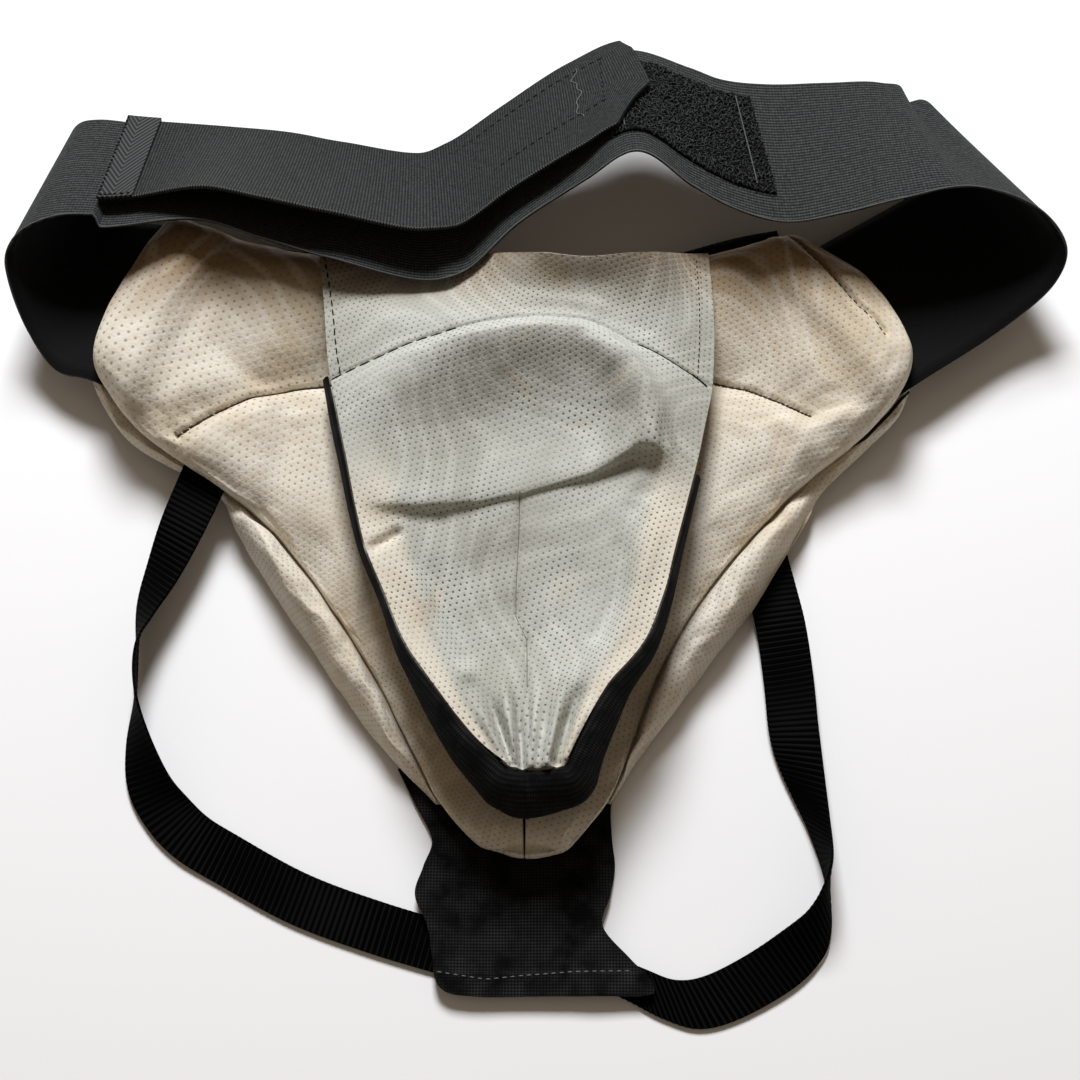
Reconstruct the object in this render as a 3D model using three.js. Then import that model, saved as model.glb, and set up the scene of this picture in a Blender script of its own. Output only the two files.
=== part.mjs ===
// A padded groin guard lying on its front, wearer's side up.
// Millimetres, +Z up out of the wearer's side, +X towards the wearer's right, +Y towards the waist.
import * as THREE from 'three';

// Driving dimensions
const BELT_WIDTH = 75;
const BELT_THICKNESS = 2;
const STRAP_WIDTH = 52;
const STRAP_THICKNESS = 1.6;
const TAPE_THICKNESS = 1;
const HOOK_THICKNESS = 1;
const LOOP_THICKNESS = 1.7;
const WEBBING_WIDTH = 20;
const WEBBING_THICKNESS = 1.4;
const COVER_THICKNESS = 1.5;
const OUTER_PAD_THICKNESS = 5.2;
const CENTRE_PAD_THICKNESS = 5;
const WING_PAD_THICKNESS = 16;
const PAD_EDGE_THICKNESS = 3;
const PAD_EDGE_ROUNDING = 15;
const PANEL_THICKNESS = 1.6;
const CUP_THICKNESS = 3;
const KNIT_THICKNESS = 1.5;
const GAP = 0.3;
const LAYER_GAP = 1;
const POUCH_GAP = 1.3;

// The guard's middle line lies a little left of the frame's middle.
const MIDDLE_X = -6;

// Small mathematics shared by all pieces
function smooth(from, to, value) {
  const t = Math.min(1, Math.max(0, (value - from) / (to - from)));
  return t * t * (3 - 2 * t);
}

function mix(a, b, t) {
  return a + (b - a) * t;
}

// A column of a table read at a fractional row, on a smooth curve through the rows.
function column(table, name, row) {
  const last = table.length - 1;
  const i = Math.min(last - 1, Math.max(0, Math.floor(row)));
  const t = row - i;
  const p1 = table[i][name];
  const p2 = table[i + 1][name];
  const p0 = i > 0 ? table[i - 1][name] : 2 * p1 - p2;
  const p3 = i + 2 <= last ? table[i + 2][name] : 2 * p2 - p1;
  const bend = (2 * p0 - 5 * p1 + 4 * p2 - p3) * t * t + (3 * p1 - p0 - 3 * p2 + p3) * t * t * t;
  return p1 + 0.5 * ((p2 - p0) * t + bend);
}

function distanceToSegment(x, y, a, b) {
  const dx = b.x - a.x;
  const dy = b.y - a.y;
  const t = Math.min(1, Math.max(0, ((x - a.x) * dx + (y - a.y) * dy) / (dx * dx + dy * dy)));
  return Math.hypot(x - a.x - t * dx, y - a.y - t * dy);
}

function range(from, to, steps) {
  return Array.from({ length: steps + 1 }, (_, i) => mix(from, to, i / steps));
}

// Closed solids
function geometryFrom(points, triangles) {
  let volume = 0;
  for (const [a, b, c] of triangles) {
    volume += points[a].dot(new THREE.Vector3().crossVectors(points[b], points[c]));
  }
  const facing = volume > 0 ? triangles : triangles.map(([a, b, c]) => [a, c, b]);
  const geometry = new THREE.BufferGeometry();
  geometry.setFromPoints(points);
  geometry.setIndex(facing.flat());
  return geometry;
}

// Two like grids of points, an upper and a lower face, closed by a wall round their border.
function wallSolid(upper, lower) {
  const rows = upper.length;
  const cols = upper[0].length;
  const points = [...upper.flat(), ...lower.flat()];
  const top = (r, c) => r * cols + c;
  const under = (r, c) => rows * cols + r * cols + c;
  const triangles = [];
  for (let r = 0; r + 1 < rows; r += 1) {
    for (let c = 0; c + 1 < cols; c += 1) {
      triangles.push([top(r, c), top(r + 1, c), top(r + 1, c + 1)]);
      triangles.push([top(r, c), top(r + 1, c + 1), top(r, c + 1)]);
      triangles.push([under(r, c), under(r + 1, c + 1), under(r + 1, c)]);
      triangles.push([under(r, c), under(r, c + 1), under(r + 1, c + 1)]);
    }
  }
  const border = [];
  for (let c = 0; c + 1 < cols; c += 1) border.push([0, c]);
  for (let r = 0; r + 1 < rows; r += 1) border.push([r, cols - 1]);
  for (let c = cols - 1; c > 0; c -= 1) border.push([rows - 1, c]);
  for (let r = rows - 1; r > 0; r -= 1) border.push([r, 0]);
  border.forEach(([r, c], i) => {
    const [nextR, nextC] = border[(i + 1) % border.length];
    triangles.push([top(r, c), top(nextR, nextC), under(nextR, nextC)]);
    triangles.push([top(r, c), under(nextR, nextC), under(r, c)]);
  });
  return geometryFrom(points, triangles);
}

// Rings of points joined one to the next, with a flat cap at both ends.
function ringSolid(rings) {
  const count = rings[0].length;
  const points = rings.flat();
  const triangles = [];
  for (let k = 0; k + 1 < rings.length; k += 1) {
    for (let i = 0; i < count; i += 1) {
      const next = (i + 1) % count;
      const a = k * count;
      const b = a + count;
      triangles.push([a + i, b + i, b + next], [a + i, b + next, a + next]);
    }
  }
  const end = (rings.length - 1) * count;
  for (let i = 1; i + 1 < count; i += 1) {
    triangles.push([0, i, i + 1], [end, end + i + 1, end + i]);
  }
  return geometryFrom(points, triangles);
}

function piece(name, geometry, color, roughness) {
  const material = new THREE.MeshStandardMaterial({ color, roughness, metalness: 0 });
  const mesh = new THREE.Mesh(geometry, material);
  mesh.name = name;
  return mesh;
}

// Colours
const BLACK_ELASTIC = 0x2c2d2f;
const BLACK_WEBBING = 0x151516;
const BLACK_KNIT = 0x121213;
const BLACK_TAPE = 0x1b1b1c;
const BLACK_PILE = 0x131314;
const CREAM_MESH = 0xcdbb9f;
const PALE_MESH = 0xc9ccc6;
const CUP_PLASTIC = 0xd8d8d4;

// Guard outline, a row for each section from the waist edge down to the tip of the V.
// y is the height of the row on the middle line, the rises lift its two ends,
// pad and outer are the side edges of the inner pads and of the outer pad,
// roll is how far the outer pad's edge roll stands above the flat pad.
const GUARD_ROWS = [
  { y: 122, riseLeft: 19, riseRight: 11, padLeft: -155, padRight: 107, outerLeft: -154, outerRight: 106, roll: 0 },
  { y: 104, riseLeft: 14, riseRight: 12, padLeft: -171, padRight: 136, outerLeft: -171, outerRight: 136, roll: 0 },
  { y: 80, riseLeft: 2, riseRight: 4, padLeft: -184, padRight: 153, outerLeft: -186, outerRight: 154, roll: 0 },
  { y: 60, riseLeft: 2, riseRight: 2, padLeft: -176, padRight: 147, outerLeft: -181, outerRight: 151, roll: 0 },
  { y: 43, riseLeft: 0, riseRight: 1, padLeft: -158, padRight: 129, outerLeft: -165, outerRight: 135, roll: 1 },
  { y: 25, riseLeft: 0, riseRight: 2, padLeft: -131, padRight: 108, outerLeft: -133, outerRight: 117, roll: 0 },
  { y: 9, riseLeft: 0, riseRight: 2, padLeft: -111, padRight: 92, outerLeft: -124, outerRight: 108, roll: 8 },
  { y: -8, riseLeft: 0, riseRight: 0, padLeft: -96, padRight: 75, outerLeft: -114, outerRight: 96, roll: 13 },
  { y: -26, riseLeft: 0, riseRight: 0, padLeft: -83, padRight: 62, outerLeft: -102, outerRight: 85, roll: 13 },
  { y: -43, riseLeft: 0, riseRight: 0, padLeft: -72, padRight: 52, outerLeft: -90, outerRight: 71, roll: 12 },
  { y: -62, riseLeft: 0, riseRight: 0, padLeft: -61, padRight: 43, outerLeft: -77, outerRight: 57, roll: 11 },
  { y: -84, riseLeft: 0, riseRight: 0, padLeft: -50, padRight: 35, outerLeft: -60, outerRight: 40, roll: 7 },
  { y: -104, riseLeft: 0, riseRight: 0, padLeft: -39, padRight: 26, outerLeft: -43, outerRight: 29, roll: 2 },
  { y: -121, riseLeft: 0, riseRight: 0, padLeft: -25, padRight: 13, outerLeft: -26, outerRight: 14, roll: 0 },
  { y: -129, riseLeft: 0, riseRight: 0, padLeft: -9, padRight: 4, outerLeft: -9, outerRight: 4, roll: 0 },
];
const OUTER_LAST_ROW = 12;
const COVER_LAST_ROW = 11.1;
const COVER_INSET = 5;
const COVER_TOP_MARGIN = 2.5;

// side runs from -1 at the left edge over 0 on the middle line to 1 at the right edge.
function guardPoint(side, row, leftName, rightName) {
  const edge = column(GUARD_ROWS, side < 0 ? leftName : rightName, row);
  const rise = column(GUARD_ROWS, side < 0 ? 'riseLeft' : 'riseRight', row);
  const x = mix(MIDDLE_X, edge, Math.abs(side));
  return { x, y: column(GUARD_ROWS, 'y', row) + rise * side * side };
}

// The front lies flat on the table under the cup, and lifts at the wings and at the waist edge.
const WING_LIFT = 8;
const WAIST_LIFT = 8;

function dish(x, y) {
  const off = Math.abs(x - MIDDLE_X);
  const wing = WING_LIFT * smooth(80, 180, off);
  const waist = WAIST_LIFT * smooth(65, 130, y) * (1 - smooth(80, 140, off));
  return wing + waist;
}

// Belt roots and the left leg strap are tucked between the inner and outer pads, which part there.
const BELT_TUCK = 5.5;
const STRAP_TUCK = 3;
const LEFT_ROOT = { x: -158, y: 100, outX: -0.928, outY: 0.374 };
const RIGHT_ROOT = { x: 126, y: 95, outX: 0.844, outY: 0.537 };
const LEFT_STRAP_TUCK = { from: { x: -131, y: 46 }, to: { x: -140, y: 16 } };
const RIGHT_STRAP_TUCK = { from: { x: 89, y: 6 }, to: { x: 96, y: -26 } };

function rootTuck(root, x, y) {
  const outward = (x - root.x) * root.outX + (y - root.y) * root.outY;
  return BELT_TUCK * smooth(-18, -5, outward);
}

function strapTuck(tuck, x, y) {
  return STRAP_TUCK * (1 - smooth(18, 30, distanceToSegment(x, y, tuck.from, tuck.to)));
}

const OUTER_BOTTOM = COVER_THICKNESS + LAYER_GAP;
const OUTER_TOP = OUTER_BOTTOM + OUTER_PAD_THICKNESS;
const INNER_BOTTOM = OUTER_TOP + LAYER_GAP;

function frontCover() {
  const rows = range(0, COVER_LAST_ROW, 14);
  const sides = range(-1, 1, 12);
  const plan = (row, side) => {
    const edge = column(GUARD_ROWS, side < 0 ? 'outerLeft' : 'outerRight', row);
    const inset = 1 - COVER_INSET / Math.abs(edge - MIDDLE_X);
    const point = guardPoint(side * inset, row, 'outerLeft', 'outerRight');
    return { x: point.x, y: point.y + COVER_TOP_MARGIN * (1 - smooth(0, 1, row)) };
  };
  const face = (height) => rows.map((row) => sides.map((side) => {
    const { x, y } = plan(row, side);
    return new THREE.Vector3(x, y, dish(x, y) + height);
  }));
  return piece('front_cover', wallSolid(face(COVER_THICKNESS), face(0)), BLACK_KNIT, 0.9);
}

// The outer pad is flat under the inner pads, and its free edge rolls up beside them along the V.
const CREASE_GAP = 0.9;
const ROLL_STEPS = [0, 0.12, 0.32, 0.6, 0.85, 1];

function outerPad() {
  const rows = range(0, OUTER_LAST_ROW, 18);
  const inner = range(-1, 1, 12);
  const leftRoll = ROLL_STEPS.slice(1).reverse();
  const rightRoll = ROLL_STEPS.slice(1);
  const place = (row, side, roll) => {
    const pad = guardPoint(side, row, 'padLeft', 'padRight');
    const outer = guardPoint(Math.sign(side), row, 'outerLeft', 'outerRight');
    const crease = pad.x + Math.sign(side) * CREASE_GAP * Math.abs(side);
    const x = roll > 0 ? mix(crease, outer.x, roll) : crease;
    const low = dish(x, pad.y);
    const height = column(GUARD_ROWS, 'roll', row) * Math.pow(Math.sin(Math.PI * Math.min(roll, 0.92)), 0.6);
    const edgeDrop = 2 * smooth(0.85, 1, roll);
    const lift = strapTuck(RIGHT_STRAP_TUCK, x, pad.y);
    return {
      upper: new THREE.Vector3(x, pad.y, low + OUTER_TOP - edgeDrop + (roll > 0 ? height : 0)),
      lower: new THREE.Vector3(x, pad.y, low + OUTER_BOTTOM + lift),
    };
  };
  const grid = rows.map((row) => [
    ...leftRoll.map((roll) => place(row, -1, roll)),
    ...inner.map((side) => place(row, side, 0)),
    ...rightRoll.map((roll) => place(row, 1, roll)),
  ]);
  const upper = grid.map((line) => line.map((point) => point.upper));
  const lower = grid.map((line) => line.map((point) => point.lower));
  return piece('outer_pad', wallSolid(upper, lower), CREAM_MESH, 0.85);
}

// The inner pads swell at the wings, thin out under the pouch and round down to their edges.
// A dart is a sewn groove from the pad's edge to the pocket panel.
const LEFT_DART = { from: { x: -147, y: 44 }, to: { x: -88, y: 70 } };
const RIGHT_DART = { from: { x: 72, y: 71 }, to: { x: 110, y: 54 } };
const DART_DEPTH = 7;
const DART_HALF_WIDTH = 8;
const TIP_RISE = 5;
const SEAM_HALF_GAP = 0.2;

function padOutline() {
  const rows = range(0, GUARD_ROWS.length - 1, 42);
  const waist = range(-1, 1, 24).map((side) => guardPoint(side, 0, 'padLeft', 'padRight'));
  const right = rows.map((row) => guardPoint(1, row, 'padLeft', 'padRight'));
  const left = rows.map((row) => guardPoint(-1, row, 'padLeft', 'padRight')).reverse();
  return [...waist, ...right, ...left];
}

const PAD_OUTLINE = padOutline();

function distanceToPadEdge(x, y) {
  let nearest = Infinity;
  PAD_OUTLINE.forEach((point, i) => {
    const next = PAD_OUTLINE[(i + 1) % PAD_OUTLINE.length];
    if (Math.hypot(next.x - point.x, next.y - point.y) > 0) {
      nearest = Math.min(nearest, distanceToSegment(x, y, point, next));
    }
  });
  return nearest;
}

function padHeights(x, y, dart) {
  const off = Math.abs(x - MIDDLE_X);
  const tuck = rootTuck(x < 0 ? LEFT_ROOT : RIGHT_ROOT, x, y);
  const lift = Math.max(tuck, strapTuck(LEFT_STRAP_TUCK, x, y));
  const bottom = dish(x, y) + INNER_BOTTOM + lift;
  const swell = mix(CENTRE_PAD_THICKNESS, WING_PAD_THICKNESS, smooth(25, 115, off));
  const full = swell + TIP_RISE * smooth(-95, -118, y);
  const inset = Math.min(1, distanceToPadEdge(x, y) / PAD_EDGE_ROUNDING);
  const rounded = Math.sqrt(1 - (1 - inset) * (1 - inset));
  const groove = distanceToSegment(x, y, dart.from, dart.to) / DART_HALF_WIDTH;
  const thickness = mix(PAD_EDGE_THICKNESS, full, rounded) - DART_DEPTH * Math.exp(-groove * groove) * rounded;
  return { bottom, top: bottom + Math.max(PAD_EDGE_THICKNESS, thickness) };
}

function innerPad(name, direction, dart) {
  const rows = range(0, GUARD_ROWS.length - 1, 28);
  const across = range(0, 1, 8).map((t) => Math.sin(t * Math.PI / 2));
  const grid = rows.map((row) => across.map((side) => {
    const point = guardPoint(direction * side, row, 'padLeft', 'padRight');
    const x = point.x + direction * SEAM_HALF_GAP * (1 - side);
    return { x, y: point.y, ...padHeights(x, point.y, dart) };
  }));
  const upper = grid.map((line) => line.map(({ x, y, top }) => new THREE.Vector3(x, y, top)));
  const lower = grid.map((line) => line.map(({ x, y, bottom }) => new THREE.Vector3(x, y, bottom)));
  return piece(name, wallSolid(upper, lower), CREAM_MESH, 0.85);
}

// Pouch, a row for each section from the waist edge over the arc seam down to the gathered tip.
// y and middle are the place and height on the middle line, sideY and rim those of both side edges.
const POUCH_ROWS = [
  { y: 124, sideY: 123, left: -92, right: 70, rim: 30.5, middle: 28 },
  { y: 106, sideY: 101, left: -89, right: 71, rim: 33.4, middle: 36 },
  { y: 93, sideY: 80, left: -87, right: 71, rim: 34, middle: 43.5 },
  { y: 86, sideY: 66, left: -85, right: 70, rim: 35, middle: 48 },
  { y: 79, sideY: 57, left: -83, right: 69, rim: 37, middle: 42 },
  { y: 66, sideY: 43, left: -80, right: 66, rim: 40, middle: 29 },
  { y: 45, sideY: 25, left: -76, right: 62, rim: 42, middle: 23 },
  { y: 22, sideY: 6, left: -72, right: 57, rim: 43, middle: 22 },
  { y: 0, sideY: -13, left: -67, right: 52, rim: 45, middle: 24 },
  { y: -25, sideY: -32, left: -60, right: 47, rim: 46, middle: 26 },
  { y: -48, sideY: -51, left: -51, right: 39, rim: 47, middle: 30 },
  { y: -69, sideY: -68, left: -37, right: 25, rim: 47, middle: 35 },
  { y: -87, sideY: -86, left: -23, right: 15, rim: 46, middle: 40 },
  { y: -99, sideY: -98, left: -12, right: 9, rim: 44, middle: 43 },
];
const ARC_ROW = 3;
const TIP_ROW = POUCH_ROWS.length - 1;
const FOLD_ROW = 7;
const FOLD_HEIGHT = 4.5;
const FOLD_REACH = 0.45;
const SEAM_DEPTH = 1.2;
const GATHER_HEIGHT = 1.6;
const GATHER_WAVES = 5;

function pouchPlan(side, row) {
  const edge = column(POUCH_ROWS, side < 0 ? 'left' : 'right', row);
  const y = column(POUCH_ROWS, 'y', row);
  const sideY = column(POUCH_ROWS, 'sideY', row);
  return { x: mix(MIDDLE_X, edge, Math.abs(side)), y: mix(y, sideY, side * side) };
}

// Height of the wearer's face, with the slack fold across the hollow and the gathers at the tip.
function pouchHeight(side, row) {
  const rim = column(POUCH_ROWS, 'rim', row);
  const middle = column(POUCH_ROWS, 'middle', row);
  const bowl = mix(middle, rim, Math.pow(Math.abs(side), 2.1));
  const fromFold = (row - FOLD_ROW) / FOLD_REACH;
  const fold = FOLD_HEIGHT * Math.exp(-fromFold * fromFold) * (1 - smooth(0.6, 0.95, Math.abs(side)));
  const towardTip = smooth(FOLD_ROW + 3, TIP_ROW, row);
  const gathers = GATHER_HEIGHT * towardTip * Math.cos(GATHER_WAVES * Math.PI * side) * (1 - side * side);
  const seam = SEAM_DEPTH * smooth(FOLD_ROW + 0.3, FOLD_ROW + 1.5, row) * Math.exp(-Math.pow(side / 0.12, 2));
  return bowl + fold + gathers - seam;
}

function pouchLayer(name, rows, sides, heightOf, depth, thickness, color, roughness) {
  const face = (drop) => rows.map((row) => sides.map((side) => {
    const { x, y } = pouchPlan(side, row);
    return new THREE.Vector3(x, y, heightOf(side, row) - drop);
  }));
  return piece(name, wallSolid(face(depth), face(depth + thickness)), color, roughness);
}

function bareHeight(side, row) {
  const rim = column(POUCH_ROWS, 'rim', row);
  const middle = column(POUCH_ROWS, 'middle', row);
  const slack = (GATHER_HEIGHT + SEAM_DEPTH) * smooth(FOLD_ROW, TIP_ROW, row);
  return mix(middle, rim, Math.pow(Math.abs(side), 2.1)) - slack;
}

const CUP_TOP_DEPTH = PANEL_THICKNESS + POUCH_GAP;
const COVER_TOP_DEPTH = CUP_TOP_DEPTH + CUP_THICKNESS + GAP;

function pocketPanel() {
  const rows = range(0, TIP_ROW, 25);
  const sides = range(-1, 1, 16);
  return pouchLayer('pocket_panel', rows, sides, pouchHeight, 0, PANEL_THICKNESS, PALE_MESH, 0.85);
}

function cup() {
  const rows = range(ARC_ROW, TIP_ROW - 0.5, 14);
  const sides = range(-0.95, 0.95, 10);
  return pouchLayer('cup', rows, sides, bareHeight, CUP_TOP_DEPTH, CUP_THICKNESS, CUP_PLASTIC, 0.5);
}

function pouchCover() {
  const rows = range(ARC_ROW, TIP_ROW - 0.5, 14);
  const sides = range(-0.95, 0.95, 10);
  return pouchLayer('pouch_cover', rows, sides, bareHeight, COVER_TOP_DEPTH, KNIT_THICKNESS, BLACK_KNIT, 0.9);
}

// Rim of the pouch, a row for each section along its V, from the arc seam's left end round the tip.
// side and row place the section on the panel's edge, width and fall shape its outward slope.
const RIM_ROWS = [
  { side: -1, row: 3.1, width: 2.6, fall: 4 },
  { side: -1, row: 5, width: 3.2, fall: 5 },
  { side: -1, row: 7, width: 3.8, fall: 6 },
  { side: -1, row: 9, width: 4.5, fall: 7 },
  { side: -1, row: 10.3, width: 6.5, fall: 8 },
  { side: -1, row: 11.2, width: 9.5, fall: 10 },
  { side: -1, row: 12.2, width: 12.5, fall: 12 },
  { side: -1, row: TIP_ROW, width: 15.5, fall: 13 },
  { side: -0.3, row: TIP_ROW, width: 18, fall: 14 },
  { side: 0.3, row: TIP_ROW, width: 17.5, fall: 14 },
  { side: 1, row: TIP_ROW, width: 15, fall: 13 },
  { side: 1, row: 12.2, width: 12, fall: 12 },
  { side: 1, row: 11.2, width: 10, fall: 10 },
  { side: 1, row: 10.3, width: 6, fall: 8 },
  { side: 1, row: 9, width: 3.4, fall: 7 },
  { side: 1, row: 7.6, width: 2.6, fall: 5 },
  { side: 1, row: 6.3, width: 2, fall: 4 },
];
// Section of the rim, as shares of its width outward and of its fall downward.
const RIM_SECTION = [
  { out: 0, down: 0 },
  { out: 0.35, down: -0.06 },
  { out: 0.72, down: 0.22 },
  { out: 1, down: 0.75 },
  { out: 0.9, down: 1 },
  { out: 0.4, down: 0.8 },
  { out: 0, down: 0.6 },
];
const RIM_STEPS = 2;
const RIM_GAP = 0.8;

function pouchRim() {
  const last = RIM_ROWS.length - 1;
  const stations = range(0, last, last * RIM_STEPS);
  const spine = stations.map((t) => {
    const side = Math.max(-1, Math.min(1, column(RIM_ROWS, 'side', t)));
    const row = Math.min(TIP_ROW, column(RIM_ROWS, 'row', t));
    const { x, y } = pouchPlan(side, row);
    return new THREE.Vector3(x, y, pouchHeight(side, row));
  });
  const rings = stations.map((t, i) => {
    const before = spine[Math.max(0, i - 1)];
    const after = spine[Math.min(spine.length - 1, i + 1)];
    const along = new THREE.Vector3(after.x - before.x, after.y - before.y, 0).normalize();
    const outward = new THREE.Vector3(along.y, -along.x, 0);
    const width = column(RIM_ROWS, 'width', t);
    const fall = column(RIM_ROWS, 'fall', t);
    return RIM_SECTION.map(({ out, down }) => spine[i].clone()
      .addScaledVector(outward, RIM_GAP + out * width)
      .add(new THREE.Vector3(0, 0, -down * fall)));
  });
  return piece('pouch_rim', ringSolid(rings), BLACK_KNIT, 0.9);
}

// Waistband, a row for each straight line across it, from the left root round the back to the right root.
// front is the rim towards the guard, back the rim away from it.
const BELT_ROWS = [
  { frontX: -172, frontY: 65, frontZ: 18.5, backX: -144, backY: 134, backZ: 15.9 },
  { frontX: -186, frontY: 71, frontZ: 18.9, backX: -158, backY: 143, backZ: 17.2 },
  { frontX: -201, frontY: 77, frontZ: 16, backX: -176, backY: 149, backZ: 12 },
  { frontX: -212, frontY: 92, frontZ: 22, backX: -191, backY: 163, backZ: 10 },
  { frontX: -218, frontY: 108, frontZ: 34, backX: -201, backY: 179, backZ: 13 },
  { frontX: -218, frontY: 116, frontZ: 42, backX: -202, backY: 186, backZ: 19 },
  { frontX: -213, frontY: 120, frontZ: 48, backX: -198, backY: 190, backZ: 22 },
  { frontX: -199, frontY: 123, frontZ: 52, backX: -190, backY: 191, backZ: 23 },
  { frontX: -176, frontY: 123, frontZ: 54, backX: -172, backY: 189, backZ: 23 },
  { frontX: -140, frontY: 126, frontZ: 55, backX: -134, backY: 188, backZ: 19 },
  { frontX: -114, frontY: 119, frontZ: 52.5, backX: -107, backY: 184, backZ: 21 },
  { frontX: -88, frontY: 112, frontZ: 49, backX: -84, backY: 179, backZ: 21 },
  { frontX: -46, frontY: 104, frontZ: 43, backX: -50, backY: 173, backZ: 20 },
  { frontX: -31, frontY: 108, frontZ: 44, backX: -38, backY: 176, backZ: 22 },
  { frontX: -8, frontY: 127, frontZ: 51, backX: -13, backY: 193, backZ: 25 },
  { frontX: 20, frontY: 143, frontZ: 58, backX: 15, backY: 210, backZ: 31 },
  { frontX: 40, frontY: 153, frontZ: 61, backX: 38, backY: 220, backZ: 32 },
  { frontX: 62, frontY: 141, frontZ: 54, backX: 64, backY: 212, backZ: 31 },
  { frontX: 80, frontY: 133, frontZ: 47.5, backX: 78, backY: 206, backZ: 31 },
  { frontX: 100, frontY: 129, frontZ: 43, backX: 97, backY: 203, backZ: 32 },
  { frontX: 124, frontY: 132, frontZ: 45, backX: 124, backY: 205, backZ: 30 },
  { frontX: 146, frontY: 136, frontZ: 49, backX: 146, backY: 207, backZ: 27 },
  { frontX: 176, frontY: 141, frontZ: 51, backX: 160, backY: 205, backZ: 21 },
  { frontX: 206, frontY: 134, frontZ: 45, backX: 172, backY: 197, backZ: 19 },
  { frontX: 217, frontY: 122, frontZ: 36, backX: 183, backY: 185, backZ: 13 },
  { frontX: 214, frontY: 112, frontZ: 26, backX: 180, backY: 176, backZ: 9 },
  { frontX: 193, frontY: 95, frontZ: 18, backX: 157, backY: 160, backZ: 10.5 },
  { frontX: 158, frontY: 71, frontZ: 18.4, backX: 118, backY: 134, backZ: 15.6 },
  { frontX: 146, frontY: 63, frontZ: 17.4, backX: 106, backY: 126, backZ: 15.6 },
];
const BELT_STEPS = 2;
// Lines along the belt, measured across it from the back rim. Every layer on the belt keeps to them.
const LOOP_FROM = 9;
const LOOP_TO = 61;
const HOOK_TO = 40;
const BELT_LINES = [0, LOOP_FROM, 25, HOOK_TO, STRAP_WIDTH, LOOP_TO, BELT_WIDTH];

function beltCurve(end) {
  const points = BELT_ROWS.map((row) => new THREE.Vector3(row[`${end}X`], row[`${end}Y`], row[`${end}Z`]));
  return new THREE.CatmullRomCurve3(points, false, 'centripetal');
}

const BELT_FRONT = beltCurve('front');
const BELT_BACK = beltCurve('back');

// A point on the belt at a fractional row, a distance across from the back rim and a height off its middle.
// Height counts towards the outer face, which looks up along the back and down at the wings.
function beltPoint(row, across, height) {
  const last = BELT_ROWS.length - 1;
  const share = across / BELT_WIDTH;
  const at = (r) => {
    const t = Math.min(1, Math.max(0, r / last));
    return BELT_BACK.getPoint(t).lerp(BELT_FRONT.getPoint(t), share);
  };
  const along = at(row + 0.02).sub(at(row - 0.02));
  const t = Math.min(1, Math.max(0, row / last));
  const line = BELT_FRONT.getPoint(t).sub(BELT_BACK.getPoint(t));
  const normal = new THREE.Vector3().crossVectors(line, along).normalize();
  return at(row).addScaledVector(normal, height);
}

function beltLayer(name, rowsOf, acrossFrom, acrossTo, lowOf, thickness, color, roughness) {
  const lines = BELT_LINES.filter((across) => across >= acrossFrom && across <= acrossTo);
  const count = rowsOf(acrossFrom).length;
  const face = (extra) => range(0, count - 1, count - 1).map((_, i) => lines.map((across) => {
    const row = rowsOf(across)[i];
    return beltPoint(row, across, lowOf(row) + extra);
  }));
  return piece(name, wallSolid(face(thickness), face(0)), color, roughness);
}

function beltRows(from, to) {
  return range(from, to, Math.round((to - from) * BELT_STEPS));
}

const LAYER_ON_BELT = BELT_THICKNESS / 2 + GAP;
const HOOK_LOW = LAYER_ON_BELT + LOOP_THICKNESS + GAP;
const STRAP_HIGH = HOOK_LOW + HOOK_THICKNESS + GAP;
// Rows of the belt where each layer on it starts and ends.
const TAPE_FROM = 7.5;
const TAPE_TO = 8.25;
const STRAP_TO = 16;
const HOOK_ROWS = { from: 13, to: 15.5 };
const LOOP_ROWS = { from: 15.5, to: 18.5 };
const STRAP_POINT = 0.4;

// The strap lies on the belt at its sewn end, and over the hook and loop patches at its free end.
function strapLow(row) {
  return mix(LAYER_ON_BELT, STRAP_HIGH, smooth(10.5, 13, row));
}

// The free end runs to a blunt point in the middle of the strap's width.
function strapRows(across) {
  const rows = beltRows(TAPE_FROM, STRAP_TO);
  const middle = STRAP_WIDTH / 2;
  const toPoint = 1 - Math.abs(across - middle) / middle;
  const end = STRAP_TO + STRAP_POINT * toPoint - 0.3 * (across / STRAP_WIDTH);
  rows[rows.length - 1] = end;
  return rows;
}

function waistband() {
  const rows = () => beltRows(0, BELT_ROWS.length - 1);
  const low = () => -BELT_THICKNESS / 2;
  return beltLayer('waistband', rows, 0, BELT_WIDTH, low, BELT_THICKNESS, BLACK_ELASTIC, 0.8);
}

function closureStrap() {
  return beltLayer('closure_strap', strapRows, 0, STRAP_WIDTH, strapLow, STRAP_THICKNESS, BLACK_ELASTIC, 0.8);
}

function seamTape() {
  const rows = () => beltRows(TAPE_FROM, TAPE_TO);
  const low = (row) => strapLow(row) + STRAP_THICKNESS + GAP;
  return beltLayer('seam_tape', rows, 0, STRAP_WIDTH, low, TAPE_THICKNESS, BLACK_TAPE, 0.85);
}

function hookPatch() {
  const rows = () => beltRows(HOOK_ROWS.from, HOOK_ROWS.to);
  return beltLayer('hook_patch', rows, LOOP_FROM, HOOK_TO, () => HOOK_LOW, HOOK_THICKNESS, BLACK_PILE, 0.9);
}

function loopPatch() {
  const rows = () => beltRows(LOOP_ROWS.from, LOOP_ROWS.to);
  return beltLayer('loop_patch', rows, LOOP_FROM, LOOP_TO, () => LAYER_ON_BELT, LOOP_THICKNESS, BLACK_PILE, 0.95);
}

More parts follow.
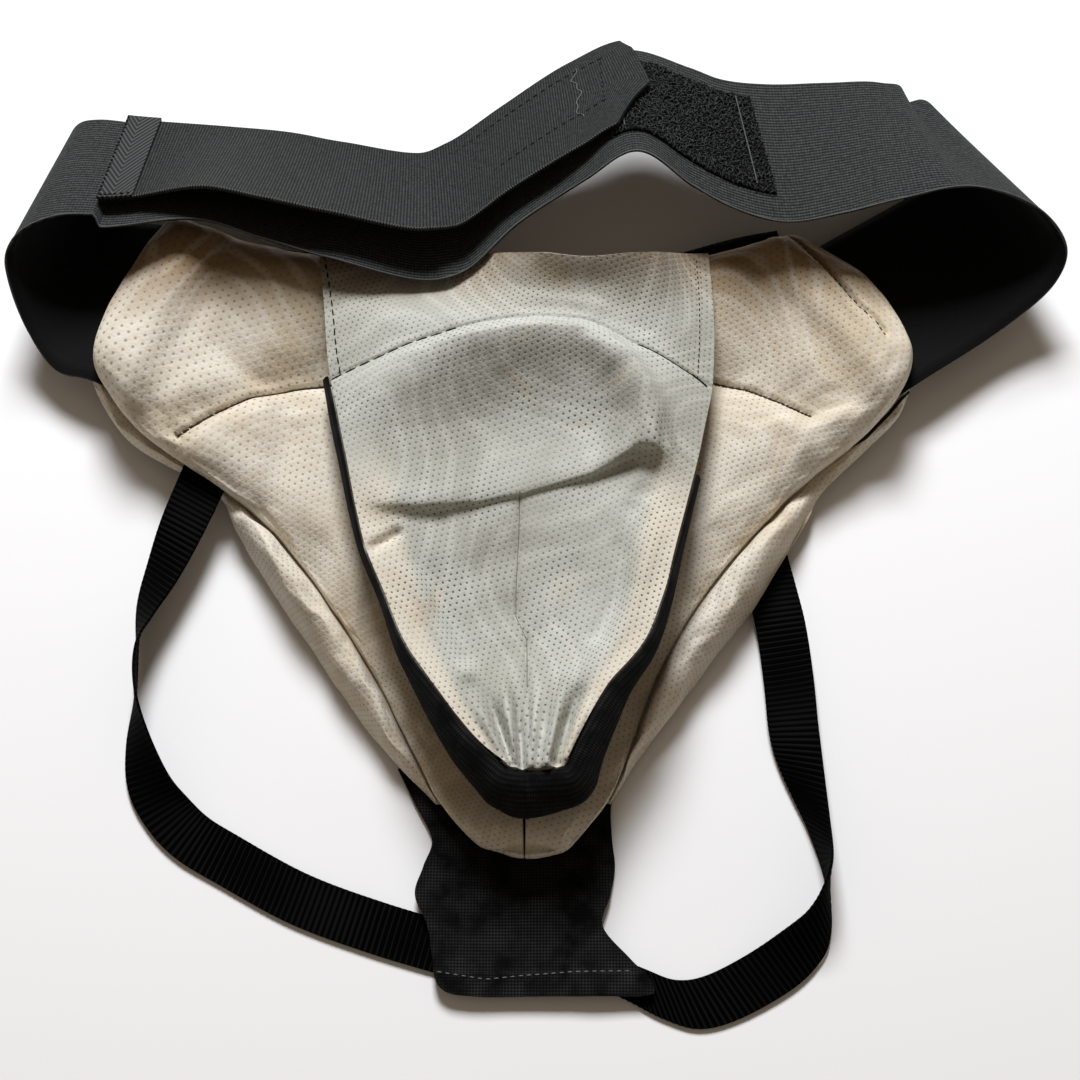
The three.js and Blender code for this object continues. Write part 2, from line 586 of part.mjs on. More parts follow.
// Leg straps, a row for each section. turn is the heading of the line across the webbing,
// lean its slope, and past 90 degrees of lean the webbing has turned over.
const LEFT_STRAP_ROWS = [
  { x: -134, y: 38, z: 13.7, turn: -30, lean: 0 },
  { x: -138.5, y: 25, z: 13.9, turn: -31, lean: 0 },
  { x: -145, y: 8, z: 13, turn: -32, lean: 10 },
  { x: -152, y: -10, z: 10.4, turn: -40, lean: 28 },
  { x: -158, y: -26, z: 9.8, turn: -48, lean: 44 },
  { x: -160, y: -42, z: 10.5, turn: -36, lean: 64 },
  { x: -159, y: -64, z: 10, turn: -5, lean: 64 },
  { x: -157, y: -81, z: 8.7, turn: 5, lean: 50 },
  { x: -153, y: -95, z: 6.2, turn: 12, lean: 30 },
  { x: -146, y: -106, z: 3.6, turn: 30, lean: 14 },
  { x: -136, y: -116, z: 1.8, turn: 55, lean: 4 },
  { x: -121, y: -125, z: 0.9, turn: 67, lean: 0 },
  { x: -93, y: -140, z: 0.9, turn: 71, lean: 0 },
  { x: -63, y: -151, z: 0.9, turn: 74, lean: 0 },
  { x: -32, y: -160, z: 0.9, turn: 76, lean: 0 },
  { x: -10, y: -165, z: 0.9, turn: 77, lean: 0 },
];
const RIGHT_STRAP_ROWS = [
  { x: 90, y: 2, z: 3.4, turn: 6, lean: 2 },
  { x: 94, y: -16, z: 3.2, turn: 6, lean: 3 },
  { x: 97, y: -32, z: 3.4, turn: 6, lean: 7 },
  { x: 99, y: -54, z: 4.2, turn: 6, lean: 12 },
  { x: 100, y: -74, z: 5, turn: -2, lean: 17 },
  { x: 102, y: -90, z: 6, turn: -20, lean: 26 },
  { x: 105, y: -105, z: 7.8, turn: -40, lean: 38 },
  { x: 108, y: -118, z: 9.8, turn: -54, lean: 58 },
  { x: 110, y: -130, z: 11, turn: -58, lean: 88 },
  { x: 109.5, y: -141, z: 10.8, turn: -56, lean: 112 },
  { x: 107, y: -150, z: 9, turn: -54, lean: 130 },
  { x: 102, y: -157, z: 7, turn: -54, lean: 146 },
  { x: 89, y: -167, z: 3, turn: -53, lean: 170 },
  { x: 70, y: -177, z: 1, turn: -57, lean: 180 },
  { x: 56, y: -180, z: 1, turn: -66, lean: 180 },
  { x: 43, y: -176, z: 1, turn: -70, lean: 180 },
  { x: 28, y: -169, z: 1, turn: -66, lean: 180 },
  { x: 14, y: -163, z: 1, turn: -66, lean: 180 },
];
const WEBBING_STEPS = 3;

function legStrap(name, table) {
  const last = table.length - 1;
  const stations = range(0, last, last * WEBBING_STEPS);
  const centre = (t) => new THREE.Vector3(column(table, 'x', t), column(table, 'y', t), column(table, 'z', t));
  const faces = stations.map((t) => {
    const turn = THREE.MathUtils.degToRad(column(table, 'turn', t));
    const lean = THREE.MathUtils.degToRad(column(table, 'lean', t));
    const flat = Math.cos(lean);
    const across = new THREE.Vector3(flat * Math.cos(turn), flat * Math.sin(turn), Math.sin(lean));
    const along = centre(Math.min(last, t + 0.02)).sub(centre(Math.max(0, t - 0.02)));
    const normal = new THREE.Vector3().crossVectors(across, along).normalize();
    const point = (half, height) => centre(t).addScaledVector(across, half).addScaledVector(normal, height);
    const halves = [-WEBBING_WIDTH / 2, 0, WEBBING_WIDTH / 2];
    return {
      upper: halves.map((half) => point(half, WEBBING_THICKNESS / 2)),
      lower: halves.map((half) => point(half, -WEBBING_THICKNESS / 2)),
    };
  });
  const solid = wallSolid(faces.map((face) => face.upper), faces.map((face) => face.lower));
  return piece(name, solid, BLACK_WEBBING, 0.7);
}

// Crotch tab, a row for each section from the seam under the V down to the hem.
const TAB_ROWS = [
  { y: -89, left: -56, right: 33, rise: 0 },
  { y: -103, left: -49, right: 28, rise: 0 },
  { y: -117, left: -42, right: 28, rise: 1 },
  { y: -128, left: -45, right: 29, rise: 2.4 },
  { y: -139, left: -48, right: 27, rise: 2 },
  { y: -151, left: -43, right: 24, rise: 1 },
  { y: -163, left: -41, right: 34, rise: 0.6 },
  { y: -170, left: -40, right: 41, rise: 0.4 },
  { y: -177, left: -34, right: 44, rise: 0.3 },
];
const TAB_ON_STRAPS = 2.2;
const TAB_LOW = 0.3;
const TAB_HEM_EXTRA = 1.2;

function crotchTab() {
  const rows = range(0, TAB_ROWS.length - 1, 16);
  const shares = range(0, 1, 6);
  const grid = rows.map((row) => shares.map((share) => {
    const y = column(TAB_ROWS, 'y', row);
    const x = mix(column(TAB_ROWS, 'left', row), column(TAB_ROWS, 'right', row), share);
    const wave = column(TAB_ROWS, 'rise', row) * (1 + Math.cos(2 * Math.PI * share * 1.5)) / 2;
    const low = TAB_LOW + TAB_ON_STRAPS * smooth(-130, -146, y) + wave;
    const hem = TAB_HEM_EXTRA * smooth(-167, -169.5, y);
    return { low: new THREE.Vector3(x, y, low), high: new THREE.Vector3(x, y, low + KNIT_THICKNESS + hem) };
  }));
  const upper = grid.map((line) => line.map((point) => point.high));
  const lower = grid.map((line) => line.map((point) => point.low));
  return piece('crotch_tab', wallSolid(upper, lower), BLACK_KNIT, 0.9);
}

// Assembly, from the table up
const guard = new THREE.Group();
guard.add(
  frontCover(),
  outerPad(),
  innerPad('left_pad', -1, LEFT_DART),
  innerPad('right_pad', 1, RIGHT_DART),
  pouchCover(),
  cup(),
  pocketPanel(),
  pouchRim(),
  waistband(),
  closureStrap(),
  seamTape(),
  hookPatch(),
  loopPatch(),
  crotchTab(),
  legStrap('left_leg_strap', LEFT_STRAP_ROWS),
  legStrap('right_leg_strap', RIGHT_STRAP_ROWS),
);

// The origin is under the middle of the whole object, on the table.
const box = new THREE.Box3().setFromObject(guard);
const centre = box.getCenter(new THREE.Vector3());
guard.position.set(-centre.x, -centre.y, -box.min.z);
guard.updateMatrixWorld(true);

export default guard;
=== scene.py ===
import math

import bpy
import numpy as np
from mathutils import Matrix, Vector, noise
from mathutils.bvhtree import BVHTree


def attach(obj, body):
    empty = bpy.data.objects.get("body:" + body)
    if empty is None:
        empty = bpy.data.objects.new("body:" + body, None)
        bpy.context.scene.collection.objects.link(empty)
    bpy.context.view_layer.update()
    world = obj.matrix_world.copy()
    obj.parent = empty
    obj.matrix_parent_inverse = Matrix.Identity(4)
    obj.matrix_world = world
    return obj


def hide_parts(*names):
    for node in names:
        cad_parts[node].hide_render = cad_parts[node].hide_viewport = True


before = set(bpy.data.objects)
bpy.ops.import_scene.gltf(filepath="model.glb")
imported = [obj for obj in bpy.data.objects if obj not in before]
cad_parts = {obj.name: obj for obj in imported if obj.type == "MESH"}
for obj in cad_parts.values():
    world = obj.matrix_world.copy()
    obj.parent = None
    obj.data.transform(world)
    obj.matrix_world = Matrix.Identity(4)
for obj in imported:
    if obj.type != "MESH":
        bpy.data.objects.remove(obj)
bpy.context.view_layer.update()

scene = bpy.context.scene

# Camera: the guard lies on its front with the wearer's side up,
# and is seen from above, at seventy degrees to the table.
ELEVATION = math.radians(70)
DISTANCE = 0.8
TARGET = Vector((0.00084, -0.01666, 0.020))
SENSOR_WIDTH = 36
LENS = 66.67
away = Vector((0, -math.cos(ELEVATION), math.sin(ELEVATION)))
bpy.ops.object.camera_add(location=TARGET + away * DISTANCE, rotation=(math.pi / 2 - ELEVATION, 0, 0))
camera = bpy.context.object
camera.data.sensor_width = SENSOR_WIDTH
camera.data.lens = LENS
scene.camera = camera


# Table and light: a plain white table under one soft lamp beyond the waist edge, a little to the left,
# so that the belt's shadow falls over the guard's top, with a weak warm fill from all round.
LAMP_HEIGHT = math.radians(44)
LAMP_TURN = math.radians(-5)
LAMP_DISTANCE = 2.2
LAMP_SIZE = 0.7
LAMP_WATTS = 68
LAMP_COLOUR = "f6f9ff"
FILL = 0.17
FILL_COLOUR = "ffead2"
TABLE_COLOUR = "f7f6f4"
TABLE_SIZE = 8
TABLE_GAP = 0.0004


def linear(code):
    """An sRGB hex colour as linear red, green, blue and alpha."""
    parts = [int(code[i:i + 2], 16) / 255 for i in (0, 2, 4)]
    return [p / 12.92 if p <= 0.04045 else ((p + 0.055) / 1.055) ** 2.4 for p in parts] + [1.0]


def set_inputs(tree, node, inputs):
    """Gives a node's inputs their values, or links them to other nodes' outputs."""
    for socket, value in inputs.items():
        if isinstance(value, bpy.types.NodeSocket):
            tree.links.new(value, node.inputs[socket])
        else:
            node.inputs[socket].default_value = value


def add(tree, kind, inputs, output=None, **settings):
    """Adds a node with its settings and inputs. Gives the named output, or else the first that is in use."""
    node = tree.nodes.new("ShaderNode" + kind)
    for key, value in settings.items():
        setattr(node, key, value)
    set_inputs(tree, node, inputs)
    return node.outputs[output] if output else next(socket for socket in node.outputs if socket.enabled)


def new_material(name, sockets):
    """A material of that name, with the given values on its shader's own sockets."""
    material = bpy.data.materials.new(name)
    material.use_nodes = True
    shader = material.node_tree.nodes["Principled BSDF"]
    set_inputs(material.node_tree, shader, sockets)
    return material, material.node_tree, shader


scene.view_settings.view_transform = "Standard"
world = bpy.data.worlds.new("fill_light")
world.use_nodes = True
sky = world.node_tree.nodes["Background"]
set_inputs(world.node_tree, sky, {"Color": linear(FILL_COLOUR), "Strength": FILL})
scene.world = world
lamp_way = Vector((math.sin(LAMP_TURN), math.cos(LAMP_TURN), math.tan(LAMP_HEIGHT))).normalized()
bpy.ops.object.light_add(type="AREA", location=TARGET + LAMP_DISTANCE * lamp_way,
                         rotation=lamp_way.to_track_quat("Z", "Y").to_euler())
lamp = bpy.context.object.data
lamp.size = LAMP_SIZE
lamp.energy = LAMP_WATTS
lamp.color = linear(LAMP_COLOUR)[:3]
bpy.ops.mesh.primitive_plane_add(size=TABLE_SIZE, location=(0, 0, -TABLE_GAP))
table_top = bpy.context.object
table_top.name = "table"
laminate = new_material("white_laminate", {"Base Color": linear(TABLE_COLOUR), "Roughness": 0.75})[0]
table_top.data.materials.append(laminate)


# Front cover: black polyester knit over the guard's front, which lies on the table.
# It is one cut piece, sewn to the pads all round, and shows only as an edge at the waist.
MM = 0.001
SHIFT = np.array([0.843, -16.662, 0.0])
MIDDLE_X = -6
WING_LIFT = 8
WAIST_LIFT = 8
WING_FADE = (80, 180)
WAIST_FADE = (65, 130)
WAIST_SIDE_FADE = (80, 140)
COVER_THICKNESS = 1.5
COVER_LAST_ROW = 11.1
COVER_INSET = 5
COVER_TOP_MARGIN = 4
COVER_MARGIN_ROWS = (0, 0.4)
COVER_WRAP = 11
COVER_WRAP_ROWS = (0, 0.12)
COVER_WRAP_FADE = (30, 95)


def table(columns, rows):
    """A table's columns by name, each as the values down its rows."""
    return dict(zip(columns.split(), np.array(rows, float).T))


guard = table("y rise_left rise_right pad_left pad_right outer_left outer_right roll", [
    (122, 22.5, 14.5, -155, 107, -154, 106, 0),
    (104, 14, 12, -171, 136, -171, 136, 0),
    (80, 2, 4, -184, 153, -186, 154, 0),
    (60, 2, 2, -176, 147, -181, 151, 0),
    (43, 0, 1, -158, 129, -165, 135, 1),
    (25, 0, 2, -131, 108, -133, 117, 0),
    (9, 0, 2, -111, 92, -124, 108, 8),
    (-8, 0, 0, -96, 75, -114, 96, 13),
    (-26, 0, 0, -83, 62, -102, 85, 13),
    (-43, 0, 0, -72, 52, -90, 71, 12),
    (-62, 0, 0, -61, 43, -77, 57, 11),
    (-84, 0, 0, -50, 35, -60, 40, 7),
    (-104, 0, 0, -39, 26, -40, 27, 1),
    (-120, 0, 0, -25, 13, -26, 14, 0),
    (-126.3, 2.6, 2.6, -15, 8, -15, 8, 0),
])
GUARD_LAST = len(guard["y"]) - 1


def smooth(low, high, value):
    """0 below low and 1 above high, with a smooth step between."""
    t = np.clip((value - low) / (high - low), 0, 1)
    return t * t * (3 - 2 * t)


def column(values, row):
    """A table's column read at fractional rows, on a smooth curve through the rows."""
    ends = np.concatenate([[2 * values[0] - values[1]], values, [2 * values[-1] - values[-2]]])
    i = np.clip(np.floor(row).astype(int), 0, len(values) - 2)
    t = row - i
    p0, p1, p2, p3 = ends[i], ends[i + 1], ends[i + 2], ends[i + 3]
    bend = (2 * p0 - 5 * p1 + 4 * p2 - p3) * t ** 2 + (3 * p1 - p0 - 3 * p2 + p3) * t ** 3
    return p1 + 0.5 * ((p2 - p0) * t + bend)


def sided(rows, name, side, row):
    """A value that has a column of its own for the left half and for the right half."""
    return np.where(side < 0, column(rows[name + "_left"], row), column(rows[name + "_right"], row))


def guard_point(side, row, layer):
    """Plan place in a layer of the guard: side runs from -1 at its left edge to 1 at its right one."""
    x = MIDDLE_X + (sided(guard, layer, side, row) - MIDDLE_X) * np.abs(side)
    return x, column(guard["y"], row) + sided(guard, "rise", side, row) * side ** 2


def dish(x, y):
    """How far the front lifts off the table, at the wings and at the waist edge."""
    off = np.abs(x - MIDDLE_X)
    waist = smooth(*WAIST_FADE, y) * (1 - smooth(*WAIST_SIDE_FADE, off))
    return WING_LIFT * smooth(*WING_FADE, off) + WAIST_LIFT * waist


def in_frame(points):
    """Points in the tables' millimetres, moved to the shared frame, in metres."""
    return (points + SHIFT) * MM


def run_along(points):
    """The length along a line of points, up to each of them."""
    return np.concatenate([[0], np.cumsum(np.linalg.norm(np.diff(points, axis=0), axis=1))])


def read_points(piece):
    """The piece's points in metres, a row each."""
    flat = np.empty(3 * len(piece.data.vertices))
    piece.data.vertices.foreach_get("co", flat)
    return flat.reshape(-1, 3)


def write_points(piece, points):
    """Puts the piece's points where they are given, in metres."""
    piece.data.vertices.foreach_set("co", np.asarray(points).ravel())
    piece.data.update()


def pick(piece):
    """Makes the piece the only one that is selected, and the active one."""
    bpy.ops.object.select_all(action="DESELECT")
    piece.select_set(True)
    bpy.context.view_layer.objects.active = piece


def apply_modifier(piece, kind, **settings):
    """Adds one modifier to the piece, sets it and applies it."""
    pick(piece)
    modifier = piece.modifiers.new(kind.lower(), kind)
    for key, value in settings.items():
        setattr(modifier, key, value)
    bpy.ops.object.modifier_apply(modifier=modifier.name)


def smooth_faces(piece, degrees=50):
    """Shades the piece smooth, with edges sharper than that left crisp."""
    pick(piece)
    bpy.ops.object.shade_smooth_by_angle(angle=math.radians(degrees))


def cloth_grid(name, across, along, place, ribbon=False):
    """A flat grid of cloth whose point at (u, v) goes to place(u, v), in the tables' millimetres.
    Its UV map is the cloth laid flat, in metres: width and length of a ribbon, or an unwrapped cut."""
    bpy.ops.object.select_all(action="DESELECT")
    bpy.ops.mesh.primitive_grid_add(x_subdivisions=across, y_subdivisions=along, size=1)
    piece = bpy.context.object
    piece.name = name
    flat = read_points(piece)
    points = place(flat[:, 0] + 0.5, flat[:, 1] + 0.5)
    write_points(piece, in_frame(points))
    corner = np.empty(len(piece.data.loops), int)
    piece.data.loops.foreach_get("vertex_index", corner)
    if ribbon:
        grid = points.reshape(along + 1, across + 1, 3)
        over = np.linalg.norm(np.diff(grid, axis=1), axis=2)
        u = np.hstack([np.zeros((along + 1, 1)), np.cumsum(over, axis=1)])
        v = np.repeat(run_along(grid[:, across // 2]), across + 1)
        laid = np.stack([u.ravel(), v], axis=1)[corner] * MM
    else:
        bpy.ops.object.mode_set(mode="EDIT")
        bpy.ops.mesh.select_all(action="SELECT")
        bpy.ops.uv.unwrap(method="ANGLE_BASED", margin=0)
        bpy.ops.object.mode_set(mode="OBJECT")
        laid = np.empty(2 * len(corner))
        piece.data.uv_layers.active.data.foreach_get("uv", laid)
        laid = laid.reshape(-1, 2)
        cut = laid[:, 0] + 1j * laid[:, 1]
        plan = (points[corner, 0] + 1j * points[corner, 1]) * MM
        cut, plan = cut - cut.mean(), plan - plan.mean()
        cut = cut * (np.vdot(cut, plan) / np.vdot(cut, cut))
        laid = np.stack([cut.real, cut.imag], axis=1)
    piece.data.uv_layers.active.data.foreach_set("uv", laid.ravel())
    return piece


def wall(piece, thickness):
    """Gives the cloth its thickness, in millimetres, under the face that was shaped."""
    apply_modifier(piece, "SOLIDIFY", thickness=thickness * MM, offset=-1, use_even_offset=False)


def finish(piece, material, slot, *nodes):
    """Gives the piece its material, its place on the guard and the nodes that it stands for."""
    piece.data.materials.clear()
    piece.data.materials.append(material)
    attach(piece, "root")
    if nodes:
        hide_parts(*nodes)


def cloth_piece(name, mesh, place, thickness, material, slot, node, degrees=50, ribbon=True):
    """A cut of cloth in its place: mesh gives how finely it is divided, across and along."""
    piece = cloth_grid(name, *mesh, place, ribbon)
    wall(piece, thickness)
    smooth_faces(piece, degrees)
    finish(piece, material, slot, node)
    return piece


# Fine black polyester knit: loops a millimetre apart that catch a little light on a matt ground.
# They are drawn at 1.2 mm, because the real loops are too fine to show.
KNIT_PITCH = (1.2 * MM, 1.2 * MM)


def knit_material(name, ground, crest, pitch=KNIT_PITCH):
    material, tree, shader = new_material(name, {
        "Roughness": 0.95, "Specular IOR Level": 0.08, "Sheen Weight": 0.02, "Sheen Roughness": 0.6})
    cloth = add(tree, "UVMap", {})
    cells = add(tree, "Mapping", {"Vector": cloth, "Scale": (*pitch, 1)}, vector_type="TEXTURE")
    waves = []
    for axis in ("X", "Y"):
        part = add(tree, "SeparateXYZ", {0: cells}, output=axis)
        angle = add(tree, "Math", {0: part, 1: 2 * math.pi}, operation="MULTIPLY")
        waves.append(add(tree, "Math", {0: angle}, operation="SINE"))
    loops = add(tree, "Math", {0: waves[0], 1: waves[1]}, operation="ADD")
    raised = add(tree, "MapRange", {"Value": loops, "From Min": -1.4, "From Max": 1.8})
    place = add(tree, "TexCoord", {}, output="Object")
    lint = add(tree, "TexNoise", {"Vector": place, "Scale": 120.0, "Detail": 4.0})
    dust = add(tree, "MapRange", {"Value": lint, "From Min": 0.35, "From Max": 0.75})
    share = add(tree, "Math", {0: raised, 1: dust}, operation="MULTIPLY")
    tone = add(tree, "Mix", {0: share, 6: linear(ground), 7: linear(crest)}, data_type="RGBA")
    bump = add(tree, "Bump", {"Height": raised, "Strength": 0.7, "Distance": 0.3 * MM})
    set_inputs(tree, shader, {"Base Color": tone, "Normal": bump})
    return material


black_knit = knit_material("black_polyester_knit", "040404", "343434")


def cover_place(u, v):
    row = COVER_LAST_ROW * (1 - v)
    side = 2 * u - 1
    inset = COVER_INSET / np.abs(sided(guard, "outer", side, row) - MIDDLE_X)
    x, y = guard_point(side * (1 - inset), row, "outer")
    lifted = dish(x, y)
    y = y + COVER_TOP_MARGIN * (1 - smooth(*COVER_MARGIN_ROWS, row))
    wrap = COVER_WRAP * (1 - smooth(*COVER_WRAP_ROWS, row)) * smooth(*COVER_WRAP_FADE, x)
    return np.stack([x, y, lifted + wrap + COVER_THICKNESS], axis=1)


front_cover = cloth_piece("front_cover_knit", (60, 120), cover_place, COVER_THICKNESS,
                          black_knit, "knit", "front_cover", ribbon=False)


# Outer pad: foam in a cream mesh cover, sewn flat under the inner pads. Its free edge shows
# beside the wings and rolls up along both sides of the V.
LAYER_GAP = 1
OUTER_THICKNESS = 5.2
OUTER_BOTTOM = COVER_THICKNESS + LAYER_GAP
OUTER_TOP = OUTER_BOTTOM + OUTER_THICKNESS
OUTER_LAST_ROW = 12
OUTER_EDGE = 1
OUTER_ACROSS = 60
OUTER_ALONG = 84
ROLL_SHARE = 0.3
ROLL_FOOT = 2.8
ROLL_FOOT_ROWS = (6.5, 9)
ROLL_FOOT_WIDTH = 0.04
ROLL_SEWN = 0.03
EDGE_SEWN = 0.015
CREASE_GAP = 0.9
STRAP_TUCK = 3
STRAP_TUCK_FADE = (18, 30)
RIGHT_STRAP_TUCK = ((89, 6), (96, -26))
FILL_STEPS = 20
FOAM_COVER = {
    "quality": 5, "mass": 0.15, "tension_stiffness": 20, "compression_stiffness": 20,
    "bending_stiffness": 0.4, "use_pressure": True, "vertex_group_mass": "sewn",
}
HOLE_PITCH = 2.5 * MM
HOLE_ROWS = 4.4 * MM
HOLE_RADIUS = 0.41 * MM
HOLE_TURN = math.radians(19)


def line_distance(x, y, line):
    """Plan distance from each point to a line through the given places."""
    nearest = np.full(np.shape(x), np.inf)
    for (ax, ay), (bx, by) in zip(line[:-1], line[1:]):
        dx, dy = bx - ax, by - ay
        if dx or dy:
            t = np.clip(((x - ax) * dx + (y - ay) * dy) / (dx * dx + dy * dy), 0, 1)
            nearest = np.minimum(nearest, np.hypot(x - ax - t * dx, y - ay - t * dy))
    return nearest


def strap_tuck(line, x, y):
    """How far a pad lifts over a strap that is sewn in under it."""
    return STRAP_TUCK * (1 - smooth(*STRAP_TUCK_FADE, line_distance(x, y, line)))


def closed_pad(name, across, along, place):
    """A pad whose cover is sewn shut: place(u, v) gives its upper and its under face."""
    under = {}

    def upper(u, v):
        top, under["points"] = place(u, v)
        return top

    piece = cloth_grid(name, across, along, upper)
    wall(piece, 1)
    points = read_points(piece)
    points[len(under["points"]):] = in_frame(under["points"])
    write_points(piece, points)
    return piece


def fill_pad(piece, sewn, pressure, slack, reach):
    """Fills the cover with foam: it swells where it isn't sewn, by no more than reach millimetres.
    slack is how much longer the cover is cut than the foam, which puckers it along its seams."""
    before = read_points(piece)
    group = piece.vertex_groups.new(name="sewn")
    for index, weight in enumerate(sewn):
        group.add([index], float(weight), "REPLACE")
    cloth = piece.modifiers.new("fill", "CLOTH").settings
    for key, value in FOAM_COVER.items():
        setattr(cloth, key, value)
    cloth.uniform_pressure_force = pressure
    cloth.shrink_min = -slack
    cloth.effector_weights.gravity = 0
    for step in range(FILL_STEPS):
        scene.frame_set(step + 1)
    pick(piece)
    bpy.ops.object.modifier_apply(modifier="fill")
    scene.frame_set(1)
    moved = read_points(piece) - before
    length = np.maximum(np.linalg.norm(moved, axis=1, keepdims=True), 1e-9)
    write_points(piece, before + moved / length * reach * MM * np.tanh(length / (reach * MM)))


def ruffle(piece, height, size):
    """Shallow dents and rises all over, as in any cloth that has been handled."""
    points = read_points(piece)
    for vertex, point in zip(piece.data.vertices, points):
        place = Vector(point) / (size * MM)
        point += np.array(vertex.normal) * height * MM * noise.fractal(place, 1.0, 2.0, 2)
    write_points(piece, points)


# Polyester mesh: a matt knit with staggered rows of small holes, through which darker foam or
# lining shows. Where its two layers slide over each other, pale bands follow the cloth's curves.
# Towards the waist it turns a darker tan, which is painted shade for the belt's shadow, and it is warmer
# along the panel's margins.
def mesh_material(name, pale, deep, stain, hole_colour, hole_share, band_share, belt_shade_share):
    material, tree, shader = new_material(name, {
        "Roughness": 0.85, "Specular IOR Level": 0.3, "Sheen Weight": 0.12, "Sheen Roughness": 0.5})
    cloth = add(tree, "UVMap", {})
    cells = add(tree, "Mapping", {"Vector": cloth, "Rotation": (0, 0, HOLE_TURN),
                                  "Scale": (HOLE_PITCH, HOLE_ROWS, 1)}, vector_type="TEXTURE")
    distances = []
    for half in (0.0, 0.5):
        moved = add(tree, "VectorMath", {0: cells, 1: (half, half, 0)}, operation="ADD")
        part = add(tree, "VectorMath", {0: moved}, operation="FRACTION")
        centred = add(tree, "VectorMath", {0: part, 1: (0.5, 0.5, 0)}, operation="SUBTRACT")
        sized = add(tree, "VectorMath", {0: centred, 1: (HOLE_PITCH, HOLE_ROWS, 0)}, operation="MULTIPLY")
        distances.append(add(tree, "VectorMath", {0: sized}, output="Value", operation="LENGTH"))
    nearest = add(tree, "Math", {0: distances[0], 1: distances[1]}, operation="MINIMUM")
    hole = add(tree, "MapRange", {"Value": nearest, "From Min": 1.4 * HOLE_RADIUS,
                                  "From Max": 0.5 * HOLE_RADIUS}, interpolation_type="SMOOTHSTEP")
    place = add(tree, "TexCoord", {}, output="Object")
    broad = add(tree, "TexNoise", {"Vector": place, "Scale": 22.0, "Detail": 3.0})
    blot = add(tree, "MapRange", {"Value": broad, "From Min": 0.38, "From Max": 0.62})
    ground = add(tree, "Mix", {0: blot, 6: linear(deep), 7: linear(pale)}, data_type="RGBA")
    margin = add(tree, "Attribute", {}, output="Fac", attribute_name="margin")
    warmed = add(tree, "Mix", {0: margin, 6: ground, 7: linear("cfc6b4")}, data_type="RGBA")
    patch = add(tree, "TexNoise", {"Vector": place, "Scale": 34.0, "Detail": 1.0, "Distortion": 0.6})
    spot = add(tree, "MapRange", {"Value": patch, "From Min": 0.66, "From Max": 0.76, "To Max": 0.22})
    stained = add(tree, "Mix", {0: spot, 6: warmed, 7: linear(stain)}, data_type="RGBA")
    # Painted shade: towards the waist edge the colour turns a darker tan, for the shadow that the belt casts
    # there.
    up_guard = add(tree, "SeparateXYZ", {0: place}, output="Y")
    ragged = add(tree, "Math", {0: broad, 1: 30 * MM, 2: up_guard}, operation="MULTIPLY_ADD")
    painted_belt_shade = add(tree, "MapRange", {"Value": ragged, "From Min": 88 * MM, "From Max": 116 * MM,
                                    "To Max": belt_shade_share})
    belt_shaded = add(tree, "Mix", {0: painted_belt_shade, 6: stained, 7: linear("7c5e34")}, data_type="RGBA")
    swirl = add(tree, "TexNoise", {"Vector": place, "Scale": 13.0, "Detail": 0.0})
    turns = add(tree, "Math", {0: swirl, 1: 130.0}, operation="MULTIPLY")
    wave = add(tree, "Math", {0: turns}, operation="SINE")
    band = add(tree, "MapRange", {"Value": wave, "From Min": 0.2, "From Max": 1.0, "To Max": band_share})
    banded = add(tree, "Mix", {0: band, 6: belt_shaded, 7: linear("f4f1e6")}, data_type="RGBA")
    veil = add(tree, "TexNoise", {"Vector": place, "Scale": 40.0, "Detail": 2.0})
    open_share = add(tree, "MapRange", {"Value": veil, "From Min": 0.3, "From Max": 0.65,
                                        "To Min": 0.3 * hole_share, "To Max": hole_share})
    dark = add(tree, "Math", {0: hole, 1: open_share}, operation="MULTIPLY")
    tone = add(tree, "Mix", {0: dark, 6: banded, 7: linear(hole_colour)}, data_type="RGBA")
    yarn = add(tree, "TexNoise", {"Vector": cloth, "Scale": 1400.0, "Detail": 2.0})
    mound = add(tree, "MapRange", {"Value": nearest, "From Max": 0.5 * HOLE_PITCH, "To Max": 0.4},
                interpolation_type="SMOOTHSTEP")
    relief = add(tree, "Math", {0: yarn, 1: mound}, operation="ADD")
    bump = add(tree, "Bump", {"Height": relief, "Strength": 0.6, "Distance": 0.4 * MM})
    set_inputs(tree, shader, {"Base Color": tone, "Normal": bump})
    return material


cream_mesh = mesh_material("cream_polyester_mesh", pale="d9d0bf", deep="c6b79d", stain="c09a68",
                           hole_colour="5c4f3c", hole_share=0.65, band_share=0.16, belt_shade_share=0.9)


def outer_place(u, v):
    row = OUTER_LAST_ROW * (1 - v)
    left = u < ROLL_SHARE
    right = u > 1 - ROLL_SHARE
    side = np.where(left, -1, np.where(right, 1, (u - 0.5) / (0.5 - ROLL_SHARE)))
    roll = np.where(left, 1 - u / ROLL_SHARE, np.where(right, 1 - (1 - u) / ROLL_SHARE, 0))
    pad_x, y = guard_point(side, row, "pad")
    outer_x, _ = guard_point(np.where(side < 0, -1, 1), row, "outer")
    crease_x = pad_x + CREASE_GAP * side
    x = crease_x + (outer_x - crease_x) * roll
    low = dish(x, y)
    height = column(guard["roll"], row)
    foot = np.minimum(ROLL_FOOT * smooth(*ROLL_FOOT_ROWS, row), 0.5 * height)
    foot = foot * smooth(0, ROLL_FOOT_WIDTH, roll)
    inward = OUTER_TOP + foot + (height - foot) * np.sqrt(1 - (1 - np.minimum(2 * roll, 1)) ** 2)
    edge = OUTER_BOTTOM + OUTER_EDGE
    top = low + edge + (inward - edge) * np.sqrt(1 - np.maximum(2 * roll - 1, 0) ** 2)
    bottom = low + OUTER_BOTTOM + strap_tuck(RIGHT_STRAP_TUCK, x, y)
    return np.stack([x, y, top], axis=1), np.stack([x, y, bottom], axis=1)


